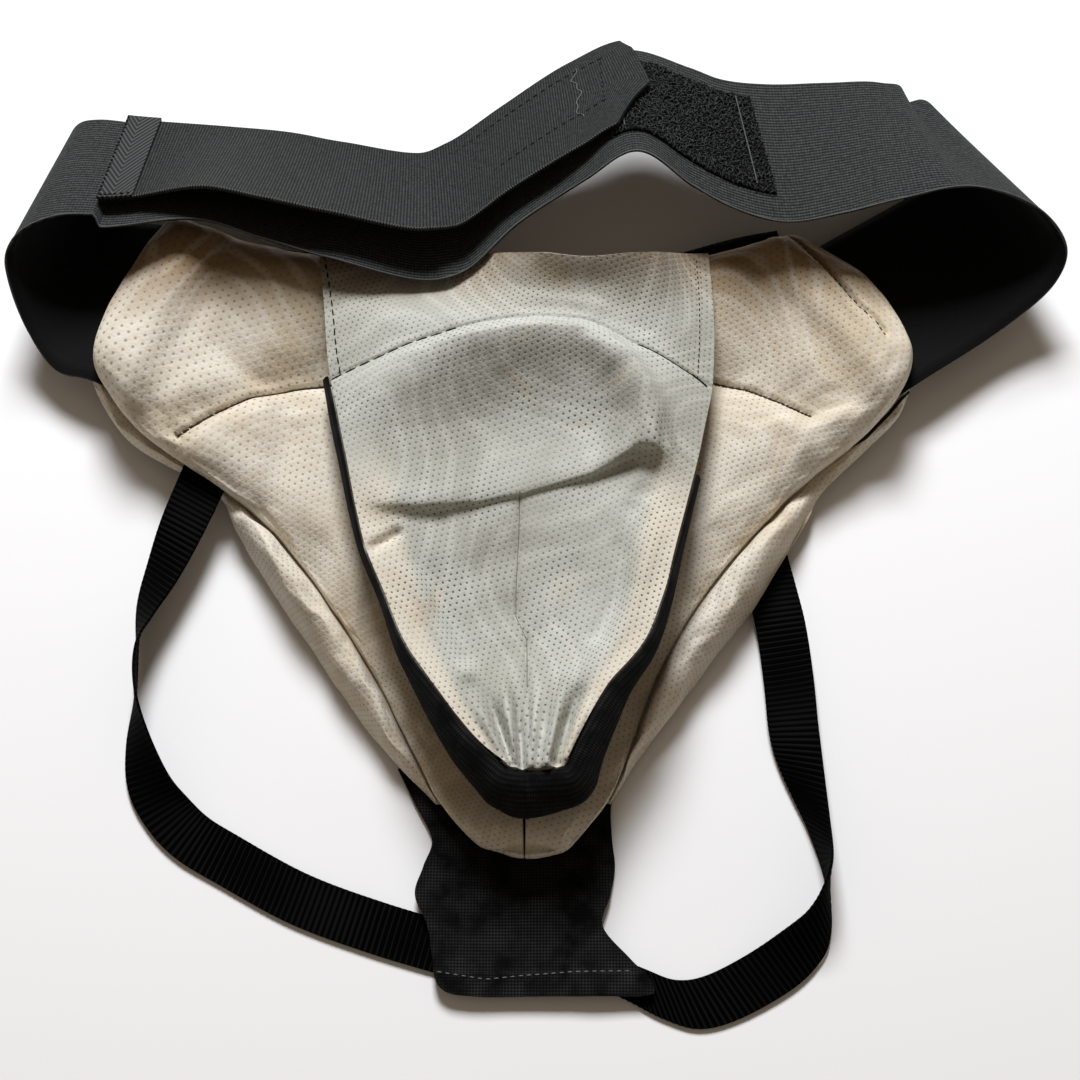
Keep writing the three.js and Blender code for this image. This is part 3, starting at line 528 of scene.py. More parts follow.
outer_pad = closed_pad("outer_pad_cover", OUTER_ACROSS, OUTER_ALONG, outer_place)
outer_off = np.abs(np.tile(np.linspace(0, 1, OUTER_ACROSS + 1), OUTER_ALONG + 1) - 0.5)
outer_free = (outer_off > 0.5 - ROLL_SHARE + ROLL_SEWN) & (outer_off < 0.5 - EDGE_SEWN)
outer_sewn = np.concatenate([np.where(outer_free, 0.0, 1.0), np.ones(len(outer_free))])
fill_pad(outer_pad, outer_sewn, pressure=3, slack=0.03, reach=1.5)
apply_modifier(outer_pad, "SUBSURF", levels=1, render_levels=1)
ruffle(outer_pad, height=0.35, size=14)
smooth_faces(outer_pad, 70)
finish(outer_pad, cream_mesh, "cream_mesh", "outer_pad")


# Inner pads: two foam wings in cream mesh, joined at the centre seam under the pouch.
# Each is shaped by a sewn dart, and the belt and leg straps are tucked in under their edges.
INNER_BOTTOM = OUTER_TOP + LAYER_GAP
INNER_MESH = (36, 72)
CENTRE_THICKNESS = 5
WING_THICKNESS = 16
SWELL_FADE = (25, 115)
EDGE_THICKNESS = 3
EDGE_ROUNDING = 15
TIP_RISE = 5
TIP_FADE = (-95, -118)
BELT_TUCK = 5.5
BELT_TUCK_FADE = (-18, -5)
SEAM_HALF_GAP = 0.2
SEWN_EDGE = 0.985
SEWN_CENTRE = 0.02
SEWN_GROOVE = 2.5
FACING_UP = (0.1, 0.5)
# Where the belt is sewn in on each side, and the way it runs outwards from there.
ROOTS = {-1: (-158, 100, -0.928, 0.374), 1: (126, 95, 0.844, 0.537)}
LEFT_STRAP_TUCK = ((-131, 46), (-140, 16))
LEFT_DART = [(-147, 43), (-134, 52.7), (-118.5, 61.6), (-102, 67.4), (-86, 70.6)]
RIGHT_DART = [(70, 72), (86, 67.4), (100, 60.3), (111, 54)]
RIGHT_CUFF = [(106, 131.5), (113.6, 122.5), (123.4, 110.4), (132.3, 98), (138.2, 91.5), (141.2, 85.5)]
DART_DEPTH = 8
CUFF_DEPTH = 3.5
DART_ABOVE = 13
DART_BELOW = 5
DART_POWER = 1.3
OUTLINE_WAIST = 24
OUTLINE_SIDE = 60
waist_sides = np.linspace(-1, 1, OUTLINE_WAIST)
side_rows = np.linspace(0, GUARD_LAST, OUTLINE_SIDE)
pad_outline = np.concatenate([
    np.stack(guard_point(waist_sides, np.zeros(OUTLINE_WAIST), "pad"), axis=1),
    np.stack(guard_point(np.ones(OUTLINE_SIDE), side_rows, "pad"), axis=1),
    np.stack(guard_point(-np.ones(OUTLINE_SIDE), side_rows, "pad"), axis=1)[::-1]])


def pad_heights(x, y, direction, grooves):
    """Under and upper height of an inner pad, with its sewn grooves: line and depth."""
    root_x, root_y, out_x, out_y = ROOTS[direction]
    outward = (x - root_x) * out_x + (y - root_y) * out_y
    lift = np.maximum(BELT_TUCK * smooth(*BELT_TUCK_FADE, outward), strap_tuck(LEFT_STRAP_TUCK, x, y))
    bottom = dish(x, y) + INNER_BOTTOM + lift
    swell = smooth(*SWELL_FADE, np.abs(x - MIDDLE_X))
    full = CENTRE_THICKNESS + (WING_THICKNESS - CENTRE_THICKNESS) * swell + TIP_RISE * smooth(*TIP_FADE, y)
    inset = np.minimum(1, line_distance(x, y, pad_outline) / EDGE_ROUNDING)
    rounded = np.sqrt(1 - (1 - inset) ** 2)
    thickness = EDGE_THICKNESS + (full - EDGE_THICKNESS) * rounded
    for line, depth in grooves:
        above = y > np.interp(x, *np.transpose(line))
        reach = np.where(above, DART_ABOVE, DART_BELOW)
        thickness = thickness - depth * np.exp(-(line_distance(x, y, line) / reach) ** DART_POWER) * rounded
    return bottom, bottom + np.maximum(EDGE_THICKNESS, thickness)


def hump(off, width):
    """A soft hump: 1 on its line, and next to nothing at twice its width."""
    return np.exp(-(off / width) ** 2)


def crease(piece, line, depth, half_width):
    """Pulls the upper face down along a sewn line, in a narrow crease."""
    points = read_points(piece)
    plan = points / MM - SHIFT
    pull = depth * hump(line_distance(plan[:, 0], plan[:, 1], line), half_width)
    up = np.array([vertex.normal.z for vertex in piece.data.vertices])
    points[:, 2] -= pull * smooth(*FACING_UP, up) * MM
    write_points(piece, points)


def inner_pad(name, direction, grooves):
    plan = {}

    def place(u, v):
        row = GUARD_LAST * (1 - v)
        share = np.sin((u if direction > 0 else 1 - u) * math.pi / 2)
        x, y = guard_point(direction * share, row, "pad")
        x = x + direction * SEAM_HALF_GAP * (1 - share)
        bottom, top = pad_heights(x, y, direction, grooves)
        plan["x"], plan["y"], plan["share"] = x, y, share
        return np.stack([x, y, top], axis=1), np.stack([x, y, bottom], axis=1)

    piece = closed_pad(name, *INNER_MESH, place)
    held = (plan["share"] > SEWN_EDGE) | (plan["share"] < SEWN_CENTRE)
    for line, _ in grooves:
        held |= line_distance(plan["x"], plan["y"], line) < SEWN_GROOVE
    sewn = np.concatenate([np.where(held, 1.0, 0.0), np.ones(len(held))])
    fill_pad(piece, sewn, pressure=4, slack=0.03, reach=2)
    apply_modifier(piece, "SUBSURF", levels=2, render_levels=2)
    ruffle(piece, height=0.45, size=16)
    for line, _ in grooves:
        crease(piece, line, depth=2.6, half_width=1.1)
    smooth_faces(piece, 70)
    return piece


left_pad = inner_pad("left_pad_cover", -1, [(LEFT_DART, DART_DEPTH)])
right_pad = inner_pad("right_pad_cover", 1, [(RIGHT_DART, DART_DEPTH), (RIGHT_CUFF, CUFF_DEPTH)])
for pad, node in ((left_pad, "left_pad"), (right_pad, "right_pad")):
    finish(pad, cream_mesh, "cream_mesh", node)


# Pouch: a hard moulded cup in a black knit cover, under the pale panel that faces the wearer.
# Cup and cover are hidden, and only give the panel its form.
pouch = table("y side_y edge_left edge_right rim middle", [
    (124, 123, -92, 70, 30.5, 28),
    (106, 101, -89, 71, 33.4, 36),
    (93, 80, -87, 71, 34, 43.5),
    (86, 66, -85, 70, 35, 48),
    (79, 57, -83, 69, 37, 42),
    (66, 43, -80, 66, 40, 29),
    (45, 25, -76, 62, 42, 23),
    (22, 6, -72, 57, 43, 22),
    (0, -13, -67, 52, 45, 24),
    (-25, -32, -59, 47, 46, 26),
    (-48, -51, -51, 39, 47, 30),
    (-69, -68, -39.5, 25, 47, 35),
    (-87, -86, -25.5, 15, 46, 40),
    (-99, -98, -12, 9, 44, 43),
])
TIP_ROW = len(pouch["y"]) - 1
ARC_ROW = 3
FOLD_ROW = 7
BOWL_POWER = 2.1
TIP_SLACK = 2.8
PANEL_THICKNESS = 1.6
CUP_DEPTH = PANEL_THICKNESS + 1.3
CUP_THICKNESS = 3
POUCH_COVER_DEPTH = CUP_DEPTH + CUP_THICKNESS + 0.3
POUCH_COVER_SIDE = 0.95
POUCH_COVER_LAST = TIP_ROW - 0.5
KNIT_THICKNESS = 1.5


def pouch_plan(side, row):
    """Plan place on the pouch: side runs from -1 at its left edge to 1 at its right one."""
    x = MIDDLE_X + (sided(pouch, "edge", side, row) - MIDDLE_X) * np.abs(side)
    y = column(pouch["y"], row)
    return x, y + (column(pouch["side_y"], row) - y) * side ** 2


def bowl_height(side, row):
    """Height of the bare bowl, before the panel's slack."""
    rim_z, middle_z = column(pouch["rim"], row), column(pouch["middle"], row)
    return middle_z + (rim_z - middle_z) * np.abs(side) ** BOWL_POWER


def slack_bowl(side, row):
    """Height of the bowl as the slack cloth lies on it, lower towards the tip."""
    return bowl_height(side, row) - TIP_SLACK * smooth(FOLD_ROW, TIP_ROW, row)


def pouch_cover_place(u, v):
    side = POUCH_COVER_SIDE * (2 * u - 1)
    row = ARC_ROW + (POUCH_COVER_LAST - ARC_ROW) * (1 - v)
    return np.stack([*pouch_plan(side, row), slack_bowl(side, row) - POUCH_COVER_DEPTH], axis=1)


pouch_cover = cloth_piece("pouch_cover_knit", (40, 60), pouch_cover_place, KNIT_THICKNESS,
                          black_knit, "knit", "pouch_cover", ribbon=False)

# Moulded polyethylene: white, a little cloudy, with a soft gloss and faint flow marks.
cup_plastic, tree, shader = new_material("moulded_polyethylene", {"Roughness": 0.4, "IOR": 1.51})
place = add(tree, "TexCoord", {}, output="Object")
flow = add(tree, "TexNoise", {"Vector": place, "Scale": 60.0, "Detail": 3.0})
tone = add(tree, "Mix", {0: flow, 6: linear("d2d2cc"), 7: linear("e0e0dc")}, data_type="RGBA")
set_inputs(tree, shader, {"Base Color": tone})
cup = bpy.data.objects["cup"]
cup.data.materials.clear()
cup.data.materials.append(cup_plastic)


# Pocket panel: pale grey mesh sewn over the pouch. It is flat above the arc seam, bulges over
# the seam, sinks into the cup with a slack fold across it, and is gathered at the tip.
PANEL_ACROSS = 120
PANEL_ALONG = 240
# Where the panel's mesh rows lie: closer together at the arc seam and the fold.
PANEL_SHARES = [0, 0.38, 0.68, 1]
PANEL_SHARE_ROWS = [0, 5.6, 8.0, TIP_ROW]
MARGIN_SIDES = (0.7, 0.86)
MARGIN_ROWS = (5.5, 7.5)
ARC_SIDES = [-1, -0.73, -0.46, -0.29, -0.08, 0.08, 0.30, 0.44, 0.56, 0.67, 0.9, 1]
ARC_ROWS = [3.28, 3.48, 3.38, 3.25, 3.1, 2.98, 2.88, 3.1, 3.43, 3.43, 3.75, 3.8]
ARC_GROOVE = 1.2
ARC_GROOVE_ROWS = 0.12
SEAM_SIDES = [-0.03, -0.04, -0.06, -0.07, 0.02, 0.03, 0.1, 0.15]
SEAM_ROWS = [7.1, 8.1, 8.8, 9.4, 9.85, 10.8, 12.0, 13.0]
SEAM_GROOVE = 2.0
SEAM_GROOVE_WIDTH = 1.6
SEAM_BEGIN = (7.2, 7.8)
# The mouth is the open top edge. It stands up and leans over the waist, with one wave in it.
MOUTH_LEFT = (-0.4, 0.15)
MOUTH_RIGHT = (0.7, 0.98)
MOUTH_ROWS = (1, 3)
MOUTH_LEAN = 0.48
MOUTH_LEAN_ROWS = (2, 3)
MOUTH_WAVE = 2.4
MOUTH_WAVE_SIDE = 0.33
MOUTH_WAVE_WIDTH = 0.2
MOUTH_WAVE_ROWS = (0, 1)
# How far the slack panel stands off the bowl in the middle, a value for each of the pouch's rows.
PANEL_LOOSE = np.array([27, 12, 3, -1, 4, 13, 11, 10.5, 7.5, 4, 1.6, 2.6, 1.5, 0])
LOOSE_POWER = 4
# The crest: a soft roll just inside the arc seam, which turns down on the right and ends at the fold.
crest = table("side row height", [
    (-1, 4.1, 0),
    (-0.7, 4.2, 2.2),
    (-0.46, 4.15, 4.2),
    (-0.29, 4.1, 5.2),
    (-0.08, 4.0, 5.6),
    (0.1, 3.9, 5.6),
    (0.3, 3.82, 6.4),
    (0.44, 4.05, 8.0),
    (0.56, 4.45, 9.0),
    (0.68, 5.05, 8.4),
    (0.75, 5.5, 6.6),
    (0.8, 6.0, 4.0),
])
crest_line = np.stack(pouch_plan(crest["side"], crest["row"]), axis=1)
CREST_OUT = 4.4
CREST_IN = 12
# The fold across the pouch: its line, and how much of its profile shows at each place along it.
fold_line = table("side row forward height under", [
    (-1.0, 6.95, 0.0, 0.0, 0.0),
    (-0.93, 6.98, 0.15, 0.25, 0.2),
    (-0.85, 7.06, 0.5, 0.55, 0.7),
    (-0.68, 7.2, 0.8, 0.75, 1.1),
    (-0.5, 7.25, 0.9, 0.75, 0.9),
    (-0.27, 7.23, 1.0, 0.5, 0.2),
    (0.0, 7.08, 1.0, 0.4, 0.1),
    (0.22, 6.88, 1.0, 0.45, 0.15),
    (0.41, 6.68, 1.0, 0.65, 0.5),
    (0.55, 6.38, 1.0, 0.9, 1.1),
    (0.66, 6.08, 1.0, 1.0, 1.6),
    (0.74, 6.03, 0.9, 0.95, 1.7),
    (0.8, 6.1, 0.4, 0.5, 0.9),
    (0.88, 6.3, 0.0, 0.0, 0.0),
    (1.0, 6.3, 0.0, 0.0, 0.0),
])
# The fold seen from its end: distance below its line, how far it hangs forward, and how high it stands.
fold_profile = table("below hang rise", [
    (-30, 0, 0),
    (-16, 1.0, 1.6),
    (-8, 2.4, 3.6),
    (-3, 3.6, 5.0),
    (0, 4.0, 4.8),
    (1.6, 3.6, 3.6),
    (3.6, 2.2, 1.4),
    (6, 0.6, -0.6),
    (9.5, -0.4, -1.6),
    (15, -0.2, -1.0),
    (24, 0, 0),
])
# Creases in the panel: height and width in millimetres, then the side and row of each place on the line.
# One that runs towards the tip begins softly.
CREASES = [
    (-3.6, 2.0, [(-0.95, 7.98), (-0.8, 7.8)]),
    (3.2, 4.5, [(-0.85, 7.98), (-0.8, 8.5), (-0.7, 9.4), (-0.58, 10.6)]),
    (-2.8, 4.5, [(-0.72, 7.9), (-0.66, 8.8), (-0.55, 10.2)]),
    (-1.2, 7.0, [(-0.34, 8.62), (-0.07, 8.25)]),
    (-1.2, 6.0, [(-0.12, 9.1), (0.0, 9.85), (0.2, 9.6)]),
    (3.6, 2.6, [(-0.62, 10.9), (-0.74, 12.8)]),
    (-5.0, 2.0, [(-0.42, 10.8), (-0.58, 12.9)]),
    (5.6, 2.4, [(-0.22, 10.5), (-0.4, 12.9)]),
    (-5.0, 1.8, [(-0.08, 10.8), (-0.14, 12.9)]),
    (4.6, 2.2, [(0.16, 10.8), (0.14, 12.9)]),
    (5.6, 2.4, [(0.42, 10.5), (0.55, 12.9)]),
    (-5.0, 2.0, [(0.62, 10.7), (0.74, 12.8)]),
    (2.6, 2.4, [(0.86, 11.1), (0.92, 12.7)]),
    (3.2, 5.0, [(0.86, 6.9), (0.8, 9.4), (0.64, 10.8)]),
    (-2.8, 4.0, [(0.72, 6.95), (0.66, 8.1), (0.7, 8.9), (0.62, 9.8)]),
    (-1.2, 5.0, [(0.74, 6.9), (0.68, 7.3)]),
    (1.2, 5.0, [(0.1, 1.4), (0.35, 2.2)]),
    (-0.9, 6.0, [(0.55, 0.6), (0.62, 2.6)]),
    (0.8, 8.0, [(-0.75, 0.8), (-0.6, 2.6)]),
    (1.4, 4.5, [(0.36, 4.05), (0.46, 4.7)]),
]
CREASE_LEAD = 0.2
# The panel can't sink into the cup: near it, the cloth eases off to lie just above it.
CUP_FIRST_ROW = 2.5
CUP_CLEARANCE = 0.3
CUP_TOUCH = 0.4


def panel_point(side, row):
    """Place on the panel's upper face, with its mouth, crest, seams, creases and fold."""
    x, y = pouch_plan(side, row)
    mouth = smooth(*MOUTH_LEFT, side) * (1 - smooth(*MOUTH_RIGHT, side))
    standing = mouth + (1 - mouth) * smooth(*MOUTH_ROWS, row)
    loose = column(PANEL_LOOSE, row) * (1 - side ** LOOSE_POWER) * standing
    wave = MOUTH_WAVE * hump(side - MOUTH_WAVE_SIDE, MOUTH_WAVE_WIDTH) * (1 - smooth(*MOUTH_WAVE_ROWS, row))
    y = y - MOUTH_LEAN * loose * (1 - smooth(*MOUTH_LEAN_ROWS, row)) - wave
    z = bowl_height(side, row) + loose
    inside = row > np.interp(side, crest["side"], crest["row"])
    roll = hump(line_distance(x, y, crest_line), np.where(inside, CREST_IN, CREST_OUT))
    z = z + np.interp(side, crest["side"], crest["height"]) * roll
    z = z - ARC_GROOVE * hump(row - np.interp(side, ARC_SIDES, ARC_ROWS), ARC_GROOVE_ROWS)
    half_width = np.abs(column(pouch["edge_left"], row) - MIDDLE_X)
    seam_off = np.abs(side - np.interp(row, SEAM_ROWS, SEAM_SIDES)) * half_width
    z = z - SEAM_GROOVE * smooth(*SEAM_BEGIN, row) * np.exp(-seam_off / SEAM_GROOVE_WIDTH)
    for height, width, path in CREASES:
        line = np.stack(pouch_plan(*np.array(path).T), axis=1)
        first, last = path[0][1], path[-1][1]
        fade = smooth(first - CREASE_LEAD, (first + last) / 2, row) if last > first else 1
        z = z + height * fade * hump(line_distance(x, y, line), width)
    fold = {key: np.interp(side, fold_line["side"], values) for key, values in fold_line.items()}
    below = fold_profile["below"]
    step = np.interp(pouch_plan(side, fold["row"])[1] - y, below, np.arange(len(below)))
    y = y - column(fold_profile["hang"], step) * fold["forward"]
    lifted = column(fold_profile["rise"], step)
    z = z + np.where(lifted > 0, fold["height"], fold["under"]) * lifted
    lowest = slack_bowl(side, row) - CUP_DEPTH + PANEL_THICKNESS + CUP_CLEARANCE
    z = np.where(row > CUP_FIRST_ROW, lowest + np.logaddexp(0, (z - lowest) / CUP_TOUCH) * CUP_TOUCH, z)
    return np.stack([x, y, z], axis=-1)


def panel_row(v):
    return np.interp(1 - v, PANEL_SHARES, PANEL_SHARE_ROWS)


def panel_place(u, v):
    return panel_point(2 * u - 1, panel_row(v))


pale_mesh = mesh_material("pale_polyester_mesh", pale="bcbdb3", deep="a6a599", stain="c59c6c",
                          hole_colour="2e2b24", hole_share=0.95, band_share=0.12, belt_shade_share=0.7)
panel = cloth_grid("pocket_panel_cloth", PANEL_ACROSS, PANEL_ALONG, panel_place)
panel_sides = np.tile(np.linspace(-1, 1, PANEL_ACROSS + 1), PANEL_ALONG + 1)
panel_rows = np.repeat(panel_row(np.linspace(0, 1, PANEL_ALONG + 1)), PANEL_ACROSS + 1)
margin = smooth(*MARGIN_SIDES, np.abs(panel_sides)) * smooth(*MARGIN_ROWS, panel_rows)
panel.data.attributes.new("margin", "FLOAT", "POINT").data.foreach_set("value", margin)
ruffle(panel, height=0.35, size=13)
wall(panel, PANEL_THICKNESS)
smooth_faces(panel, 60)
finish(panel, pale_mesh, "pale_mesh", "pocket_panel")


# Pouch rim: a strip of black knit folded over the edge of the pouch and its cup.
# It is narrow beside the arc seam and widest at the tip, where its two ends are sewn together.
rim = table("side row width fall", [
    (-1, 3.1, 2.4, 4),
    (-1, 5, 2.8, 5),
    (-1, 7, 2.4, 6),
    (-1, 9, 2.2, 7),
    (-1, 10.3, 4.4, 8),
    (-1, 11.2, 7.2, 10),
    (-1, 12.2, 10.5, 12),
    (-1, 13, 13, 13),
    (-0.3, 13, 15, 14),
    (0.3, 13, 14.8, 14),
    (1, 13, 12.6, 13),
    (1, 12.2, 10.4, 12),
    (1, 11.2, 8.6, 10),
    (1, 10.3, 5.4, 8),
    (1, 9, 3.2, 7),
    (1, 7.6, 2.4, 5),
    (1, 6.3, 2, 4),
])
RIM_LAST = len(rim["row"]) - 1
RIM_STEP = 0.25
RIM_OUT = np.array([-0.05, 0.0, 0.35, 0.72, 1.0, 1.02, 0.9])
RIM_DOWN = np.array([0.5, 0.0, -0.08, 0.2, 0.62, 0.85, 1.0])
RIM_GAP = 0.8
RIM_THICKNESS = 1.0
RIM_SEAM_DEPTH = 1.4
RIM_SEAM_AT = 8.6
RIM_SEAM_WIDTH = 0.06
RIB_PITCH = (2.1 * MM, 1.0 * MM)


def unit(vectors):
    """The vectors, each made one long."""
    return vectors / np.linalg.norm(vectors, axis=1, keepdims=True)


def rim_spine(t):
    side = np.clip(column(rim["side"], t), -1, 1)
    row = np.minimum(TIP_ROW, column(rim["row"], t))
    return np.stack([*pouch_plan(side, row), bowl_height(side, row)], axis=1)


def rim_place(u, v):
    t = v * RIM_LAST
    along = rim_spine(np.minimum(t + RIM_STEP, RIM_LAST)) - rim_spine(np.maximum(t - RIM_STEP, 0))
    outward = unit(np.stack([along[:, 1], -along[:, 0], 0 * t], axis=1))
    section = u * (len(RIM_OUT) - 1)
    out = RIM_GAP + column(RIM_OUT, section) * column(rim["width"], t)
    seam = RIM_SEAM_DEPTH * hump(t - RIM_SEAM_AT, RIM_SEAM_WIDTH)
    down = column(RIM_DOWN, section) * column(rim["fall"], t) + seam
    return rim_spine(t) + outward * out[:, None] - np.stack([0 * t, 0 * t, down], axis=1)


rim_knit = knit_material("black_ribbed_knit", "040404", "2c2c2c", RIB_PITCH)
pouch_rim = cloth_piece("pouch_rim_knit", (24, 260), rim_place, RIM_THICKNESS,
                        rim_knit, "knit", "pouch_rim", degrees=70)


# Waistband: one strip of 75 mm black woven elastic, sewn in under both wings.
# It stands up in a loop at each side and lies over the guard's top, outer face up.
# Its table gives the x, y and z of its front rim, then of its back rim.
BELT_ROWS = np.array([
    (-172, 65, 18.5, -144, 134, 15.9),
    (-186, 71, 18.9, -158, 143, 17.2),
    (-201, 77, 16, -176, 149, 12),
    (-212, 92, 22, -191, 163, 10),
    (-218, 108, 34, -201, 179, 13),
    (-218, 116, 42, -202, 186, 19),
    (-213, 120, 48, -198, 190, 22),
    (-199, 123, 52, -190, 191, 23),
    (-176, 123, 54, -172, 189, 23),
    (-140, 126, 55, -134, 188, 19),
    (-114, 119, 52.5, -107, 184, 21),
    (-88, 112, 49, -84, 179, 21),
    (-46, 104, 43, -50, 173, 20),
    (-31, 108, 44, -38, 176, 22),
    (-8, 127, 51, -13, 193, 25),
    (20, 143, 58, 15, 210, 31),
    (40, 153, 61, 38, 220, 32),
    (62, 141, 54, 64, 212, 31),
    (80, 131.5, 51.5, 78, 206, 31),
    (100, 126.5, 50, 97, 203, 32),
    (124, 129, 53, 124, 205, 30),
    (146, 133, 57, 146, 207, 27),
    (176, 139, 56.5, 160, 205, 21),
    (206, 134, 45, 172, 197, 19),
    (217, 122, 36, 183, 185, 13),
    (214, 112, 26, 180, 176, 9),
    (193, 95, 18, 157, 160, 10.5),
    (158, 71, 18.4, 118, 134, 15.6),
    (146, 63, 17.4, 106, 126, 15.6),
])
BELT_LAST = len(BELT_ROWS) - 1
BELT_WIDTH = 75
BELT_THICKNESS = 2
BELT_ACROSS = 50
BELT_ALONG = 420
BELT_STEP = 0.02
BELT_RIM = 3
BELT_RIM_SHARE = 0.4
# The belt hangs slack under the strap, lower than it and set back, and less so where the panel holds
# it up. As far as the tape it is drawn in. Pairs of rows say where each of these comes and goes.
SLACK_DROP = 6.5
SLACK_BACK = 0.36
SLACK_SHARES = (0.05, 0.75)
SLACK_BEGIN = (7.74, 7.86)
SLACK_END = (14.4, 15.6)
HELD_SHARE = 0.55
HELD_BEGIN = (10.6, 11.4)
HELD_END = (12.4, 13.2)
DRAWN_IN = 7.5
DRAWN_ROWS = (4.6, 7.4)
# The belt is creased where it turns into its right loop: row, depth at the back rim and width in rows.
TURN_CREASES = [(21.55, 1.6, 0.3), (22.05, -3.6, 0.22), (22.6, 1.2, 0.3)]
TURN_POWER = 0.7


def rim_curve(points, row):
    """A smooth curve through one rim's points, read at fractional rows."""
    ends = np.vstack([2 * points[0] - points[1], points, 2 * points[-1] - points[-2]])
    i = np.clip(np.floor(row).astype(int), 0, len(points) - 2)
    t = (row - i)[:, None]
    p0, p1, p2, p3 = ends[i], ends[i + 1], ends[i + 2], ends[i + 3]
    pairs = ((p0, p1), (p1, p2), (p2, p3))
    d0, d1, d2 = (np.sqrt(np.linalg.norm(b - a, axis=1, keepdims=True)) for a, b in pairs)
    m1 = ((p1 - p0) / d0 - (p2 - p0) / (d0 + d1) + (p2 - p1) / d1) * d1
    m2 = ((p2 - p1) / d1 - (p3 - p1) / (d1 + d2) + (p3 - p2) / d2) * d1
    return p1 + m1 * t + (3 * (p2 - p1) - 2 * m1 - m2) * t ** 2 + (2 * (p1 - p2) + m1 + m2) * t ** 3


def belt_line(row, share):
    """Place at a share of the way from the back rim to the front one, and the way across there."""
    row = np.clip(np.atleast_1d(row), 0, BELT_LAST)
    front, back = rim_curve(BELT_ROWS[:, :3], row), rim_curve(BELT_ROWS[:, 3:], row)
    return back + (front - back) * np.reshape(share, (-1, 1)), front - back


def belt_point(row, across, height):
    """Place on the belt: across in millimetres from its back rim, height above its middle."""
    share = across / BELT_WIDTH
    at, line = belt_line(row, share)
    along = belt_line(row + BELT_STEP, share)[0] - belt_line(row - BELT_STEP, share)[0]
    return at + unit(np.cross(line, along)) * np.reshape(height, (-1, 1))


def worn_belt_point(row, across, height):
    """Place on the belt's own cloth, with its slack part and its creases."""
    share = across / BELT_WIDTH
    for crease_row, depth, width in TURN_CREASES:
        height = height + depth * hump(row - crease_row, width) * (1 - share) ** TURN_POWER
    past_tape = smooth(*SLACK_BEGIN, row)
    drawn = DRAWN_IN * smooth(*DRAWN_ROWS, row) * (1 - past_tape)
    held_up = HELD_SHARE * smooth(*HELD_BEGIN, row) * (1 - smooth(*HELD_END, row))
    under_strap = past_tape * (1 - held_up) * (1 - smooth(*SLACK_END, row))
    drop = SLACK_DROP * under_strap * smooth(*SLACK_SHARES, share)
    at = belt_point(row, across - drawn * share, height)
    return at + np.stack([0 * drop, SLACK_BACK * drop, -drop], axis=1)


# Rows of equal length along the belt, so that its mesh and its weave are even.
RUN_STEPS = 900
row_steps = np.linspace(0, BELT_LAST, RUN_STEPS)
belt_run = run_along(belt_line(row_steps, 0.5)[0])


def belt_row(start, end, share):
    """The row at a share of the length from one row to another."""
    first, last = np.interp([start, end], row_steps, belt_run)
    return np.interp(first + (last - first) * share, belt_run, row_steps)


def belt_length(start, end):
    """The belt's length from one row to another, in metres."""
    return float(np.diff(np.interp([start, end], row_steps, belt_run))[0]) * MM


# Black woven elastic: covered rubber threads run along it and fine yarn runs across it, more than a
# millimetre apart as drawn, which gives a dull grey sheen on the crests and dark lines between them.
WEAVE = (1.6 * MM, 1.25 * MM, 1)


def elastic_material(name, ground, crest, long_share, cross_share):
    material, tree, shader = new_material(name, {
        "Roughness": 0.85, "Specular IOR Level": 0.15, "Sheen Weight": 0.03, "Sheen Roughness": 0.5})
    cloth = add(tree, "UVMap", {})
    cells = add(tree, "Mapping", {"Vector": cloth, "Scale": WEAVE}, vector_type="TEXTURE")
    waves = []
    for axis, share in (("X", long_share), ("Y", cross_share)):
        part = add(tree, "SeparateXYZ", {0: cells}, output=axis)
        angle = add(tree, "Math", {0: part, 1: 2 * math.pi}, operation="MULTIPLY")
        wave = add(tree, "Math", {0: angle}, operation="SINE")
        waves.append(add(tree, "Math", {0: wave, 1: share}, operation="MULTIPLY"))
    woven = add(tree, "Math", {0: waves[0], 1: waves[1]}, operation="ADD")
    raised = add(tree, "MapRange", {"Value": woven, "From Min": -1.0, "From Max": 1.0})
    place = add(tree, "TexCoord", {}, output="Object")
    lint = add(tree, "TexNoise", {"Vector": place, "Scale": 700.0, "Detail": 2.0})
    mixed = add(tree, "Math", {0: raised, 1: lint}, operation="MULTIPLY")
    share = add(tree, "MapRange", {"Value": mixed, "From Min": 0.05, "From Max": 0.6})
    tone = add(tree, "Mix", {0: share, 6: linear(ground), 7: linear(crest)}, data_type="RGBA")
    bump = add(tree, "Bump", {"Height": mixed, "Strength": 0.6, "Distance": 0.3 * MM})
    set_inputs(tree, shader, {"Base Color": tone, "Normal": bump})
    return material


def belt_place(u, v):
    return worn_belt_point(belt_row(0, BELT_LAST, v), BELT_WIDTH * u, BELT_THICKNESS / 2)


belt_elastic = elastic_material("black_woven_elastic", "0b0c0c", "474948", long_share=0.8, cross_share=0.25)
# The belt's back: a short black nap that shows next to no weave, drawn darker than the face as painted shade
# for the deep shadow inside the loops.
belt_back_shade = elastic_material("black_backing_painted_shade", "030303", "0a0a0a", long_share=0.3, cross_share=0.3)
waistband = cloth_grid("waistband_elastic", BELT_ACROSS, BELT_ALONG, belt_place, ribbon=True)
face_count = len(waistband.data.polygons)
outer_face = read_points(waistband)
wall(waistband, BELT_THICKNESS)
